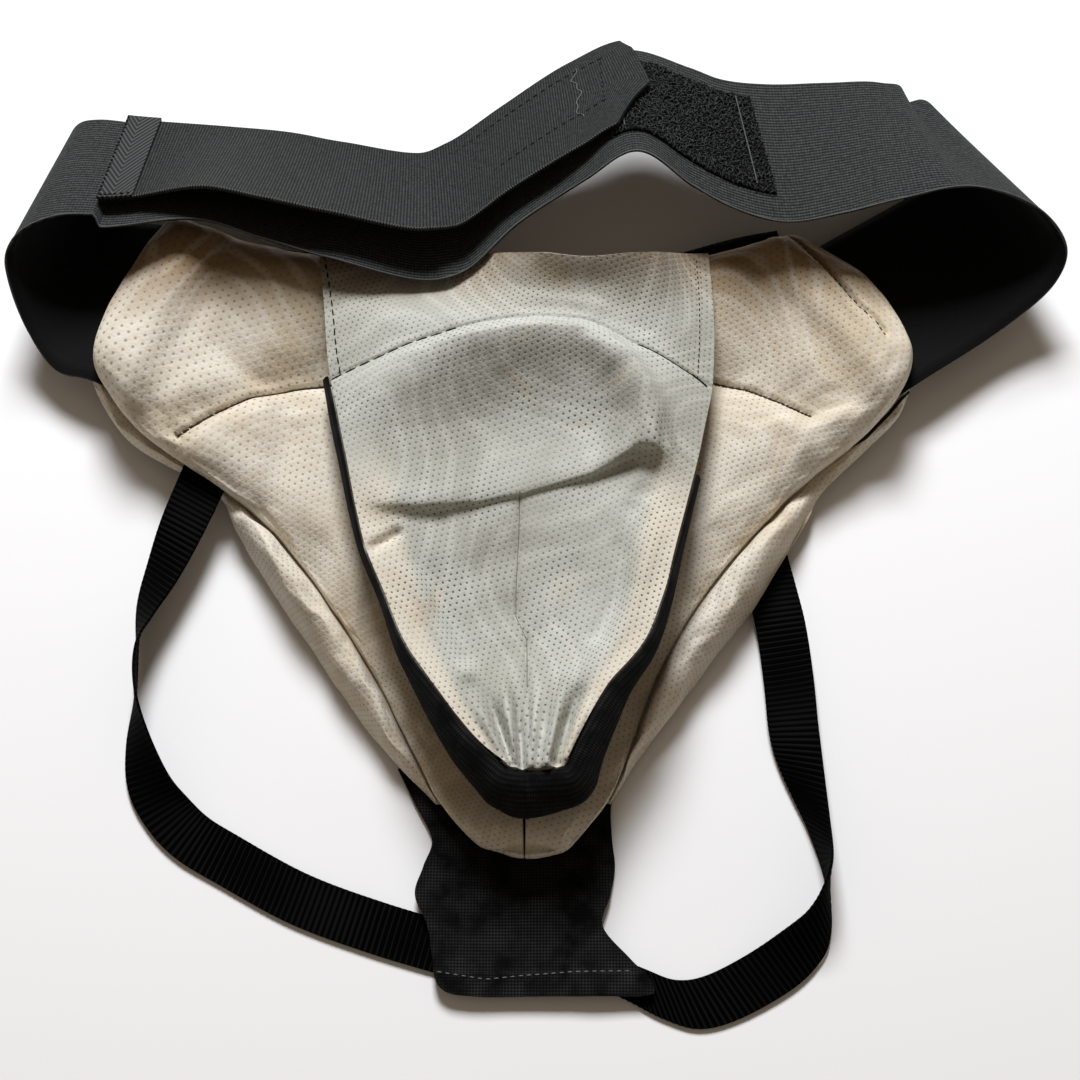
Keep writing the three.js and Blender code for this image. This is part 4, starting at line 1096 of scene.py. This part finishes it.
# The belt is thinner along both rims.
belt_points = read_points(waistband)
back_face = belt_points[len(outer_face):]
from_rim = np.tile(0.5 - np.abs(np.linspace(-0.5, 0.5, BELT_ACROSS + 1)), BELT_ALONG + 1) * BELT_WIDTH
rim_share = BELT_RIM_SHARE + (1 - BELT_RIM_SHARE) * smooth(0, BELT_RIM, from_rim)
back_face[:] = outer_face + (back_face - outer_face) * rim_share[:, None]
write_points(waistband, belt_points)
smooth_faces(waistband)
finish(waistband, belt_elastic, "elastic", "waistband")
# The back faces take the darker backing: painted shade for the shadow inside the loops.
waistband.data.materials.append(belt_back_shade)
for face in waistband.data.polygons[face_count:2 * face_count]:
    face.material_index = 1


# Closure strap: 52 mm black elastic with ribs across it, sewn to the belt at its left end.
# Its free end is cut to a blunt point and grips the loop patch by the hook patch under it.
STRAP_WIDTH = 52
STRAP_SPREAD = 7
STRAP_SPREAD_ROWS = (8, 11.5)
END_SPREAD = 8
END_SPREAD_ROWS = (12, 14.5)
STRAP_RISE = 15
STRAP_RISE_BEGIN = (8.1, 9.3)
STRAP_RISE_END = (11.8, 14)
STRAP_RISE_POWER = 1.5
STRAP_THICKNESS = 1.6
PLY_GAP = 0.3
LAYER_ON_BELT = BELT_THICKNESS / 2 + PLY_GAP
LOOP_THICKNESS = 1.7
HOOK_THICKNESS = 1.0
HOOK_LOW = LAYER_ON_BELT + LOOP_THICKNESS + PLY_GAP
STRAP_HIGH = HOOK_LOW + HOOK_THICKNESS + PLY_GAP
STRAP_CLIMB = (10.5, 13)
TAPE_ROWS = (7.74, 8.25)
STRAP_END = 16
# The point of the free end, in rows, with its slant and its rounded back corner.
END_POINT = 0.4
END_SLANT = 0.3
END_CORNER = 0.14
END_CORNER_WIDTH = 0.12
END_BEGIN = 0.85


def strap_low(row):
    """Height of the strap's underside, which climbs from the belt to the top of the hook patch."""
    return LAYER_ON_BELT + (STRAP_HIGH - LAYER_ON_BELT) * smooth(*STRAP_CLIMB, row)


def strap_point(row, share, height):
    """Place on the strap, which is slack too: its front edge stands up off the belt."""
    width = STRAP_WIDTH + STRAP_SPREAD * (1 - smooth(*STRAP_SPREAD_ROWS, row))
    width = width + END_SPREAD * smooth(*END_SPREAD_ROWS, row)
    rise = STRAP_RISE * smooth(*STRAP_RISE_BEGIN, row) * (1 - smooth(*STRAP_RISE_END, row))
    rise = rise * share ** STRAP_RISE_POWER
    at = belt_point(row, width * share, strap_low(row) + height)
    return at + np.stack([0 * rise, -SLACK_BACK * rise, rise], axis=1)


def strap_place(u, v):
    to_point = 1 - np.abs(2 * u - 1)
    corner = END_CORNER * (1 - smooth(0, END_CORNER_WIDTH, u))
    cut = (END_POINT * to_point - END_SLANT * u - corner) * smooth(END_BEGIN, 1, v)
    return strap_point(belt_row(TAPE_ROWS[0], STRAP_END, v) + cut, u, STRAP_THICKNESS)


strap_elastic = elastic_material("black_ribbed_elastic", "090a0a", "3c3e3d", long_share=0.2, cross_share=0.8)
closure_strap = cloth_piece("closure_strap_elastic", (20, 180), strap_place, STRAP_THICKNESS,
                            strap_elastic, "elastic", "closure_strap")
belt_length(TAPE_ROWS[0], STRAP_END)


# Seam tape: black herringbone tape folded over the sewn end of the closure strap.
# It wraps over the belt's back rim and is stitched down along its left and lower edges.
TAPE_THICKNESS = 1.0
TAPE_WRAP = 4
TAPE_FOOT = STRAP_WIDTH + STRAP_SPREAD
TAPE_HIGH = STRAP_THICKNESS + PLY_GAP + TAPE_THICKNESS
TURN_OUT = 1.2
TURN_FALL = 1.6
CHEVRON_PITCH = 3.2 * MM
CHEVRON_SLANT = 1.6
TAPE_WIDTH = 12 * MM


def tape_place(u, v):
    across = -TAPE_WRAP + (TAPE_FOOT + 1 + TAPE_WRAP) * u
    row = belt_row(*TAPE_ROWS, v)
    height = strap_low(row) + TAPE_HIGH - TURN_FALL * np.maximum(0, -across - TURN_OUT)
    return belt_point(row, np.maximum(across, -TURN_OUT), height)


# Herringbone tape: slanting twill ribs that meet in a point along the middle of the tape.
tape_cloth, tree, shader = new_material("black_herringbone_tape", {
    "Roughness": 0.85, "Specular IOR Level": 0.3})
cloth = add(tree, "UVMap", {})
down_tape = add(tree, "SeparateXYZ", {0: cloth}, output="X")
over_tape = add(tree, "SeparateXYZ", {0: cloth}, output="Y")
off = add(tree, "Math", {0: over_tape, 1: TAPE_WIDTH / 2}, operation="SUBTRACT")
half = add(tree, "Math", {0: off}, operation="ABSOLUTE")
lean = add(tree, "Math", {0: half, 1: CHEVRON_SLANT}, operation="MULTIPLY")
rise = add(tree, "Math", {0: down_tape, 1: lean}, operation="ADD")
turn = add(tree, "Math", {0: rise, 1: 2 * math.pi / CHEVRON_PITCH}, operation="MULTIPLY")
wave = add(tree, "Math", {0: turn}, operation="SINE")
rib = add(tree, "MapRange", {"Value": wave, "From Min": -0.8, "From Max": 0.9})
tone = add(tree, "Mix", {0: rib, 6: linear("151515"), 7: linear("474948")}, data_type="RGBA")
bump = add(tree, "Bump", {"Height": rib, "Strength": 0.8, "Distance": 0.5 * MM})
set_inputs(tree, shader, {"Base Color": tone, "Normal": bump})
seam_tape = cloth_piece("seam_tape_herringbone", (60, 16), tape_place, TAPE_THICKNESS,
                        tape_cloth, "tape", "seam_tape")


# Hook patch: a strip of stiff hook tape sewn to the underside of the strap's free end.
# It lies hidden between the strap and the belt.
HOOK_ROWS = (13, 15.5)
HOOK_ACROSS = (9, 40)


def patch_place(rows, across, height, skew=0):
    """Places for a patch that lies along the belt. skew, in rows, slants its far end."""
    def place(u, v):
        row = belt_row(*rows, v) + skew * u * v ** 2
        return belt_point(row, across[0] + (across[1] - across[0]) * u, height)

    return place


hook_tape = knit_material("black_hook_tape", "070707", "1c1c1c")
hook_patch = cloth_piece("hook_patch_tape", (12, 40),
                         patch_place(HOOK_ROWS, HOOK_ACROSS, HOOK_LOW + HOOK_THICKNESS), HOOK_THICKNESS,
                         hook_tape, "hook_loop", "hook_patch")


# Loop patch: black loop tape, a pile of small yarn loops on a woven ground, sewn to the belt.
# This is the ground. The loops are added last, with the threads that sew it down.
LOOP_ROWS = (15.5, 18.6)
LOOP_ACROSS = (9, 61)
LOOP_SKEW = 0.3
LOOP_GROUND = 0.8
loop_ground = cloth_piece("loop_patch_ground", (24, 40),
                          patch_place(LOOP_ROWS, LOOP_ACROSS, LAYER_ON_BELT + LOOP_GROUND, LOOP_SKEW),
                          LOOP_GROUND, hook_tape, "hook_loop", "loop_patch")


# Leg straps: 20 mm black polypropylene webbing with ribs across it, one to each side of the V.
# Each is sewn in under the pads, twists as it lies on the table, and ends under the crotch tab.
STRAP_COLUMNS = "x y z turn lean"
LEFT_STRAP = table(STRAP_COLUMNS, [
    (-134, 38, 13.7, -30, 0),
    (-138.5, 25, 13.9, -31, 0),
    (-145, 8, 13, -32, 10),
    (-152, -10, 10.4, -40, 28),
    (-158, -26, 9.8, -48, 48),
    (-160, -42, 10.8, -36, 78),
    (-159.5, -60, 10.8, -12, 80),
    (-157.5, -79, 9.2, 5, 56),
    (-153, -95, 6.2, 12, 30),
    (-146, -106, 3.6, 30, 14),
    (-136, -116, 1.8, 55, 4),
    (-121, -125, 0.9, 67, 0),
    (-93, -140, 0.9, 71, 0),
    (-63, -151, 0.9, 74, 0),
    (-32, -160, 0.9, 76, 0),
    (-10, -165, 0.9, 77, 0),
])
RIGHT_STRAP = table(STRAP_COLUMNS, [
    (90, 2, 3.4, 6, 2),
    (94, -16, 3.2, 6, 3),
    (97, -32, 3.4, 6, 7),
    (99, -54, 4.2, 6, 12),
    (100, -74, 5, -2, 17),
    (102, -90, 6, -20, 26),
    (105, -105, 7.8, -40, 38),
    (108, -118, 9.8, -54, 58),
    (110, -130, 11, -58, 88),
    (109.5, -141, 10.8, -56, 112),
    (107, -150, 9, -54, 130),
    (102, -157, 7, -54, 146),
    (89, -167, 3, -53, 170),
    (70, -177, 1, -57, 180),
    (56, -180, 1, -66, 180),
    (43, -176, 1, -70, 180),
    (28, -169, 1, -66, 180),
    (14, -163, 1, -66, 180),
])
WEBBING_WIDTH = 20
WEBBING_THICKNESS = 1.4
WEBBING_ACROSS = 8
WEBBING_STEP = 0.02
WEBBING_RUN_STEPS = 600
WEB_RIB_PITCH = 2.4
WEB_RIB_HEIGHT = 0.35
WEB_RIB_MESH = 6
WEB_EDGE_POWER = 6

# Polypropylene webbing: thick ribs with a silky highlight on each crest and black gaps between.
webbing, tree, shader = new_material("black_polypropylene_webbing", {
    "Roughness": 0.8, "Specular IOR Level": 0.02})
cloth = add(tree, "UVMap", {})
down_strap = add(tree, "SeparateXYZ", {0: cloth}, output="Y")
turn = add(tree, "Math", {0: down_strap, 1: math.pi / (WEB_RIB_PITCH * MM)}, operation="MULTIPLY")
wave = add(tree, "Math", {0: turn}, operation="SINE")
rib = add(tree, "Math", {0: wave}, operation="ABSOLUTE")
top = add(tree, "MapRange", {"Value": rib, "From Min": 0.72, "From Max": 1.0})
tone = add(tree, "Mix", {0: top, 6: linear("010101"), 7: linear("121212")}, data_type="RGBA")
yarn = add(tree, "TexNoise", {"Vector": cloth, "Scale": 1600.0, "Detail": 2.0})
bump = add(tree, "Bump", {"Height": yarn, "Strength": 0.5, "Distance": 0.3 * MM})
set_inputs(tree, shader, {"Base Color": tone, "Normal": bump})


def leg_strap(name, rows, node):
    last = len(rows["x"]) - 1
    steps = np.linspace(0, last, WEBBING_RUN_STEPS)

    def centre(t):
        return np.stack([column(rows[axis], t) for axis in "xyz"], axis=1)

    run = run_along(centre(steps))
    length = run[-1]

    def place(u, v):
        t = np.interp(v * length, run, steps)
        turn, lean = np.radians(column(rows["turn"], t)), np.radians(column(rows["lean"], t))
        across = np.stack([np.cos(lean) * np.cos(turn), np.cos(lean) * np.sin(turn), np.sin(lean)], axis=1)
        along = centre(np.minimum(t + WEBBING_STEP, last)) - centre(np.maximum(t - WEBBING_STEP, 0))
        inner = 1 - np.abs(2 * u - 1) ** WEB_EDGE_POWER
        rib = WEB_RIB_HEIGHT * np.abs(np.sin(np.pi * v * length / WEB_RIB_PITCH)) * inner
        height = WEBBING_THICKNESS / 2 - WEB_RIB_HEIGHT + rib
        normal = unit(np.cross(across, along))
        return centre(t) + across * ((u - 0.5) * WEBBING_WIDTH)[:, None] + normal * height[:, None]

    mesh = (WEBBING_ACROSS, int(length / WEB_RIB_PITCH * WEB_RIB_MESH))
    piece = cloth_piece(name, mesh, place, WEBBING_THICKNESS - WEB_RIB_HEIGHT,
                        webbing, "webbing", node, degrees=60)
    return piece


left_strap = leg_strap("left_leg_webbing", LEFT_STRAP, "left_leg_strap")
right_strap = leg_strap("right_leg_webbing", RIGHT_STRAP, "right_leg_strap")


# Crotch tab: a doubled piece of black knit, sewn in under the tip of the V.
# Its hem is turned up over the ends of both leg straps and stitched across.
tab = table("y left right rise", [
    (-89, -56, 33, 0),
    (-103, -49, 28, 0),
    (-117, -42, 28, 1),
    (-128, -45, 29, 2.4),
    (-139, -48, 27, 2),
    (-151, -43, 24, 1),
    (-163, -41, 34, 0.6),
    (-170, -40, 41, 0.4),
    (-174, -38, 43, 0.3),
    (-176.5, -33.5, 42.5, 0.3),
    (-177.4, -25, 37, 0.3),
])
TAB_LAST = len(tab["y"]) - 1
TAB_LOW = 0.3
TAB_WAVES = 3
TAB_ON_STRAPS = 2.2
TAB_CLIMB = (-130, -146)
TAB_HEM_EXTRA = 1.2
TAB_HEM = (-167.5, -169)
HEM_LINE = [(-38, -168.6), (-20.4, -171.2), (-6.4, -169.8), (13.6, -168.4), (33, -168)]


def tab_place(u, v):
    row = TAB_LAST * (1 - v)
    y, left, right = (column(tab[key], row) for key in ("y", "left", "right"))
    wave = column(tab["rise"], row) * (1 + np.cos(TAB_WAVES * np.pi * u)) / 2
    low = TAB_LOW + TAB_ON_STRAPS * smooth(*TAB_CLIMB, y) + wave
    hem = TAB_HEM_EXTRA * smooth(*TAB_HEM, y)
    return np.stack([left + (right - left) * u, y, low + KNIT_THICKNESS + hem], axis=1)


crotch_tab = cloth_grid("crotch_tab_knit", 60, 90, tab_place)
ruffle(crotch_tab, height=0.5, size=18)
wall(crotch_tab, KNIT_THICKNESS)
smooth_faces(crotch_tab, 60)
finish(crotch_tab, black_knit, "knit", "crotch_tab")


# Seams: rows of black stitches hold the panel, the cuff, the tape and the patches, and grey ones
# the tab's hem. Each stitch is a short bead of thread that sinks into the cloth at both ends.
STITCH_RADIUS = 0.3
STITCH_SUNK = 0.3
PATH_STEPS = 60
DROP_FROM = 0.2
THREAD_SIDES = 5
TUBE_REFERENCE = np.array([0.31, 0.17, 0.93])


# Spun polyester thread: a fine twist with short fibres that stand off it and dull its shine.
def thread_material(name, colour, light):
    material, tree, shader = new_material(name, {"Roughness": 0.7, "Specular IOR Level": 0.2})
    place = add(tree, "TexCoord", {}, output="Object")
    twist = add(tree, "TexNoise", {"Vector": place, "Scale": 2200.0, "Detail": 1.0})
    tone = add(tree, "Mix", {0: twist, 6: linear(colour), 7: linear(light)}, data_type="RGBA")
    bump = add(tree, "Bump", {"Height": twist, "Strength": 0.5, "Distance": 0.2 * MM})
    set_inputs(tree, shader, {"Base Color": tone, "Normal": bump})
    return material


black_thread = thread_material("black_polyester_thread", "050505", "161616")
grey_thread = thread_material("grey_polyester_thread", "4a4a48", "7c7c78")
dart_shade_thread = thread_material("dark_thread_painted_dart_shade", "1a140c", "33281a")
seam_thread = thread_material("dull_polyester_thread", "6a685c", "8c8a7c")


def copies(name, shape, faces, frames, material, slot):
    """One piece made of copies of a small shape. A frame gives a copy's place and its three sides."""
    places = np.einsum("nij,kj->nki", frames[:, :, 1:], shape) + frames[:, None, :, 0]
    first = len(shape) * np.arange(len(frames))
    numbers = (np.array(faces)[None] + first[:, None, None]).reshape(-1, len(faces[0]))
    mesh = bpy.data.meshes.new(name)
    mesh.from_pydata(places.reshape(-1, 3).tolist(), [], numbers.tolist())
    piece = bpy.data.objects.new(name, mesh)
    scene.collection.objects.link(piece)
    smooth_faces(piece, 80)
    finish(piece, material, slot)


def tube_shape(points, radius, sides):
    """A tube through the points: its corners and its faces."""
    along = unit(np.gradient(points, axis=0))
    first = unit(np.cross(along, TUBE_REFERENCE))
    second = np.cross(along, first)
    turns = 2 * np.pi * np.arange(sides) / sides
    ring = np.cos(turns)[None, :, None] * first[:, None] + np.sin(turns)[None, :, None] * second[:, None]
    corners = (points[:, None] + radius * ring).reshape(-1, 3)
    faces = []
    for i in range(len(points) - 1):
        for k in range(sides):
            n = (k + 1) % sides
            faces.append((i * sides + k, i * sides + n, (i + 1) * sides + n, (i + 1) * sides + k))
    return corners, faces


def even_points(path, pitch):
    """Points at even distances along a line through the given places."""
    path = np.array(path, float)
    run = run_along(path)
    at = np.linspace(0, run[-1], max(3, int(round(run[-1] / pitch)) + 1))
    return np.stack([np.interp(at, run, path[:, k]) for k in range(path.shape[1])], axis=1)


def lay_on(piece, path, pitch):
    """Points at even distances along a plan line, laid on the piece from above: points and normals."""
    tree = BVHTree.FromObject(piece, bpy.context.evaluated_depsgraph_get())
    found = []
    for x, y in even_points(path, pitch):
        start = Vector(((x + SHIFT[0]) * MM, (y + SHIFT[1]) * MM, DROP_FROM))
        place, normal, _, _ = tree.ray_cast(start, Vector((0, 0, -1)))
        if place is not None:
            found.append((place, normal))
    return np.array([f[0] for f in found]), np.array([f[1] for f in found])


def on_panel(sides, rows, pitch):
    """A seam on the panel, from places given by side and row: points and normals."""
    steps = np.linspace(0, 1, PATH_STEPS)
    fine_sides = np.interp(steps, np.linspace(0, 1, len(sides)), sides)
    fine_rows = np.interp(steps, np.linspace(0, 1, len(rows)), rows)
    return lay_on(panel, panel_point(fine_sides, fine_rows)[:, :2], pitch)


def on_belt(rows, across, height):
    """Places on the belt, in metres: points and normals."""
    low = belt_point(rows, across, height)
    return in_frame(low), belt_point(rows, across, height + 1) - low


bpy.ops.object.select_all(action="DESELECT")
bpy.ops.mesh.primitive_uv_sphere_add(segments=6, ring_count=4, radius=1)
bead = bpy.context.object
bpy.ops.object.mode_set(mode="EDIT")
bpy.ops.mesh.quads_convert_to_tris()
bpy.ops.object.mode_set(mode="OBJECT")
bead_shape = read_points(bead)
bead_faces = sorted(tuple(face.vertices) for face in bead.data.polygons)
bpy.data.objects.remove(bead)


def stitches(name, laid, slot, length, radius=STITCH_RADIUS, material=black_thread):
    """A row of stitches at the laid points, each along the row and half sunk in the cloth."""
    points, normals = laid
    along = unit(np.gradient(points, axis=0))
    across = np.cross(normals, along)
    sides = (along * length / 2 * MM, across * radius * MM, normals * radius * MM)
    frames = np.stack([points + normals * STITCH_SUNK * radius * MM, *sides], axis=2)
    copies(name, bead_shape, bead_faces, frames, material, slot)


def thread(name, points, slot, radius, material=black_thread):
    """A length of thread through the points, in metres."""
    corners, faces = tube_shape(points, radius * MM, THREAD_SIDES)
    copies(name, corners, faces, np.eye(3, 4, 1)[None], material, slot)


arc_left = np.linspace(-0.97, -0.38, 30)
arc_right = np.linspace(0.6, 0.93, 20)
stitches("panel_arc_stitches", on_panel(arc_left, np.interp(arc_left, ARC_SIDES, ARC_ROWS), pitch=6.2),
         "pale_mesh", length=5.4, radius=0.36)
thread("panel_arc_thread", on_panel(arc_right, np.interp(arc_right, ARC_SIDES, ARC_ROWS), pitch=1)[0],
       "pale_mesh", radius=0.3)
stitches("panel_arc_knot", on_panel([0.9, 0.96], [3.75, 3.9], pitch=1.5),
         "pale_mesh", length=2.6, radius=0.55)
thread("panel_centre_seam", on_panel(SEAM_SIDES[:6], SEAM_ROWS[:6], pitch=1)[0],
       "pale_mesh", radius=0.2, material=seam_thread)
stitches("panel_side_stitches_left", on_panel([-0.975, -0.955, -0.95], [0.1, 1.6, 3.1], pitch=4.6),
         "pale_mesh", length=3.6, radius=0.36)
stitches("panel_side_stitches_right", on_panel([0.93, 0.92, 0.92], [0.2, 2.0, 3.7], pitch=2.6),
         "pale_mesh", length=1.5)
stitches("cuff_stitches", lay_on(right_pad, RIGHT_CUFF, pitch=3.2), "cream_mesh", length=2.6)
# A dark brown thread laid in each dart's groove is painted shade for the dark line of shadow along the dart.
for name, pad, dart in (("left", left_pad, LEFT_DART), ("right", right_pad, RIGHT_DART)):
    dart_points = lay_on(pad, dart, pitch=1)[0] + np.array([0, 0, 0.2 * MM])
    thread("dart_shade_line_" + name, dart_points, "cream_mesh", radius=0.5, material=dart_shade_thread)

# A bound edge shows as a black line where the right inner pad meets the outer pad.
BINDING = [(153, 68.4), (144.5, 58), (133.5, 46.8), (125.5, 42.3)]
thread("right_binding", lay_on(outer_pad, BINDING, pitch=1)[0], "cream_mesh", radius=0.8)

# The box stitch that holds the hook patch, seen on the strap.
BOX_ROWS = (12.8, 15.5)
STRAP_FACE = STRAP_THICKNESS + 0.05
box_rows = belt_row(*BOX_ROWS, np.linspace(0, 1, 22))
box_across = np.linspace(*HOOK_ACROSS, 10)
for name, across in zip(("back", "front"), HOOK_ACROSS):
    stitches("box_stitches_" + name, on_belt(box_rows, across, strap_low(box_rows) + STRAP_FACE),
             "elastic", length=2.6)
for name, row in zip(("left", "right"), BOX_ROWS):
    stitches("box_stitches_" + name, on_belt(row, box_across, strap_low(row) + STRAP_FACE),
             "elastic", length=2.4)

# A loose end of grey thread lies across the strap, beside the box. It wanders in two waves:
# how far, in rows, and how often.
LOOSE_ROW = 15.05
LOOSE_WAVES = [(0.05, 19), (0.03, 47)]
loose_share = np.linspace(0.12, 0.72, 40)
loose_rows = LOOSE_ROW + sum(far * np.sin(often * loose_share) for far, often in LOOSE_WAVES)
thread("strap_loose_thread", in_frame(strap_point(loose_rows, loose_share, STRAP_THICKNESS + 0.2)),
       "elastic", radius=0.2, material=grey_thread)

tape_height = LAYER_ON_BELT + TAPE_HIGH
tape_side = np.linspace(1, TAPE_FOOT - 1, 22)
tape_foot = np.linspace(TAPE_ROWS[0] + 0.06, TAPE_ROWS[1] - 0.05, 6)
stitches("tape_stitches_side", on_belt(TAPE_ROWS[0] + 0.03, tape_side, tape_height),
         "tape", length=1.5, radius=0.55)
stitches("tape_stitches_foot", on_belt(tape_foot, TAPE_FOOT - 0.6, tape_height),
         "tape", length=1.6, radius=0.5)

# Selvedges: a bead of weft yarn turns back at every pick along the edges of the elastic. The beads along the
# strap's front edge and the tube along the belt's front rim are grey, a painted highlight for the light that
# those black edges catch.
grey_yarn_and_highlight = thread_material("grey_yarn_and_painted_highlight", "2a2b2b", "6a6c6b")
edge_rows = belt_row(TAPE_ROWS[1], STRAP_END - 0.35, np.linspace(0, 1, 190))
edge_low = strap_point(edge_rows, 1.0, STRAP_THICKNESS * 0.7)
edge_up = strap_point(edge_rows, 1.0, STRAP_THICKNESS * 0.7 + 1) - edge_low
stitches("strap_edge_painted_highlight", (in_frame(edge_low), edge_up), "elastic", length=1, radius=0.5, material=grey_yarn_and_highlight)
rim_rows = belt_row(1.5, BELT_LAST - 2, np.linspace(0, 1, 420))
rim_points = worn_belt_point(rim_rows, BELT_WIDTH - 0.1, BELT_THICKNESS / 2)
thread("belt_rim_painted_highlight", in_frame(rim_points), "elastic", radius=0.32, material=grey_yarn_and_highlight)

stitches("hem_stitches", lay_on(crotch_tab, HEM_LINE, pitch=3.1), "knit", length=2.1, material=grey_thread)


# Loop pile: each loop of the loop patch is one bent length of nylon yarn, sewn into the ground.
# The loops stand in rows, each leaning its own way.
LOOP_PITCH = 1.25
LOOP_WIRE = 0.22
LOOP_RISE = 1.2
LOOP_REACH = 0.9
LOOP_STRAY = 0.3
LOOP_LEAN = 0.45
LOOP_SIZES = (0.7, 1.25)
# Yarn loops: deep black, with a soft shine where a loop bends over.
pile_yarn = thread_material("black_nylon_pile", "040404", "484a49")
shuffle = np.random.default_rng(7)
bend = np.linspace(0, np.pi, 6)
arch = np.stack([LOOP_REACH * np.cos(bend), 0 * bend, LOOP_RISE * np.sin(bend)], axis=1) * MM
loop_shape, loop_faces = tube_shape(arch, LOOP_WIRE * MM, 4)
loop_length = belt_length(*LOOP_ROWS) / MM


def patch_row(across, share):
    """The belt's row at a share of the loop patch's length, with the slant of its far end."""
    over = (across - LOOP_ACROSS[0]) / (LOOP_ACROSS[1] - LOOP_ACROSS[0])
    return belt_row(*LOOP_ROWS, share) + LOOP_SKEW * over * share ** 2


pile_across = np.arange(LOOP_ACROSS[0] + 0.5, LOOP_ACROSS[1] - 0.2, LOOP_PITCH)
pile_along = np.arange(2, loop_length + 0.3, LOOP_PITCH) / loop_length
pile = np.stack(np.meshgrid(pile_across, pile_along), axis=-1).reshape(-1, 2)
pile += shuffle.uniform(-LOOP_STRAY, LOOP_STRAY, pile.shape) * (LOOP_PITCH, LOOP_PITCH / loop_length)
loop_points, loop_up = on_belt(patch_row(*pile.T), pile[:, 0], LAYER_ON_BELT + LOOP_GROUND - 0.1)
loop_ways = shuffle.normal(0, 1, loop_points.shape)
loop_up = unit(loop_up + LOOP_LEAN * shuffle.normal(0, 1, loop_up.shape))
loop_ways = unit(np.cross(loop_up, loop_ways))
loop_sides = np.stack([loop_ways, np.cross(loop_up, loop_ways), loop_up], axis=2)
loop_sides *= shuffle.uniform(*LOOP_SIZES, (len(pile), 1))[:, None]
loop_frames = np.concatenate([loop_points[:, :, None], loop_sides], axis=2)
copies("loop_pile", loop_shape, loop_faces, loop_frames, pile_yarn, "hook_loop")

# Where the patch is sewn down, a column of thread presses on the pile.
sewn_across = np.linspace(LOOP_ACROSS[0] + 2, LOOP_ACROSS[1] - 2, 40)
for name, share in (("first", 0.06), ("second", 0.1), ("last", 0.9)):
    sewn_points = on_belt(patch_row(sewn_across, share), sewn_across, LAYER_ON_BELT + 1.9)[0]
    thread("loop_column_" + name, sewn_points, "hook_loop", radius=0.3, material=grey_yarn_and_highlight)
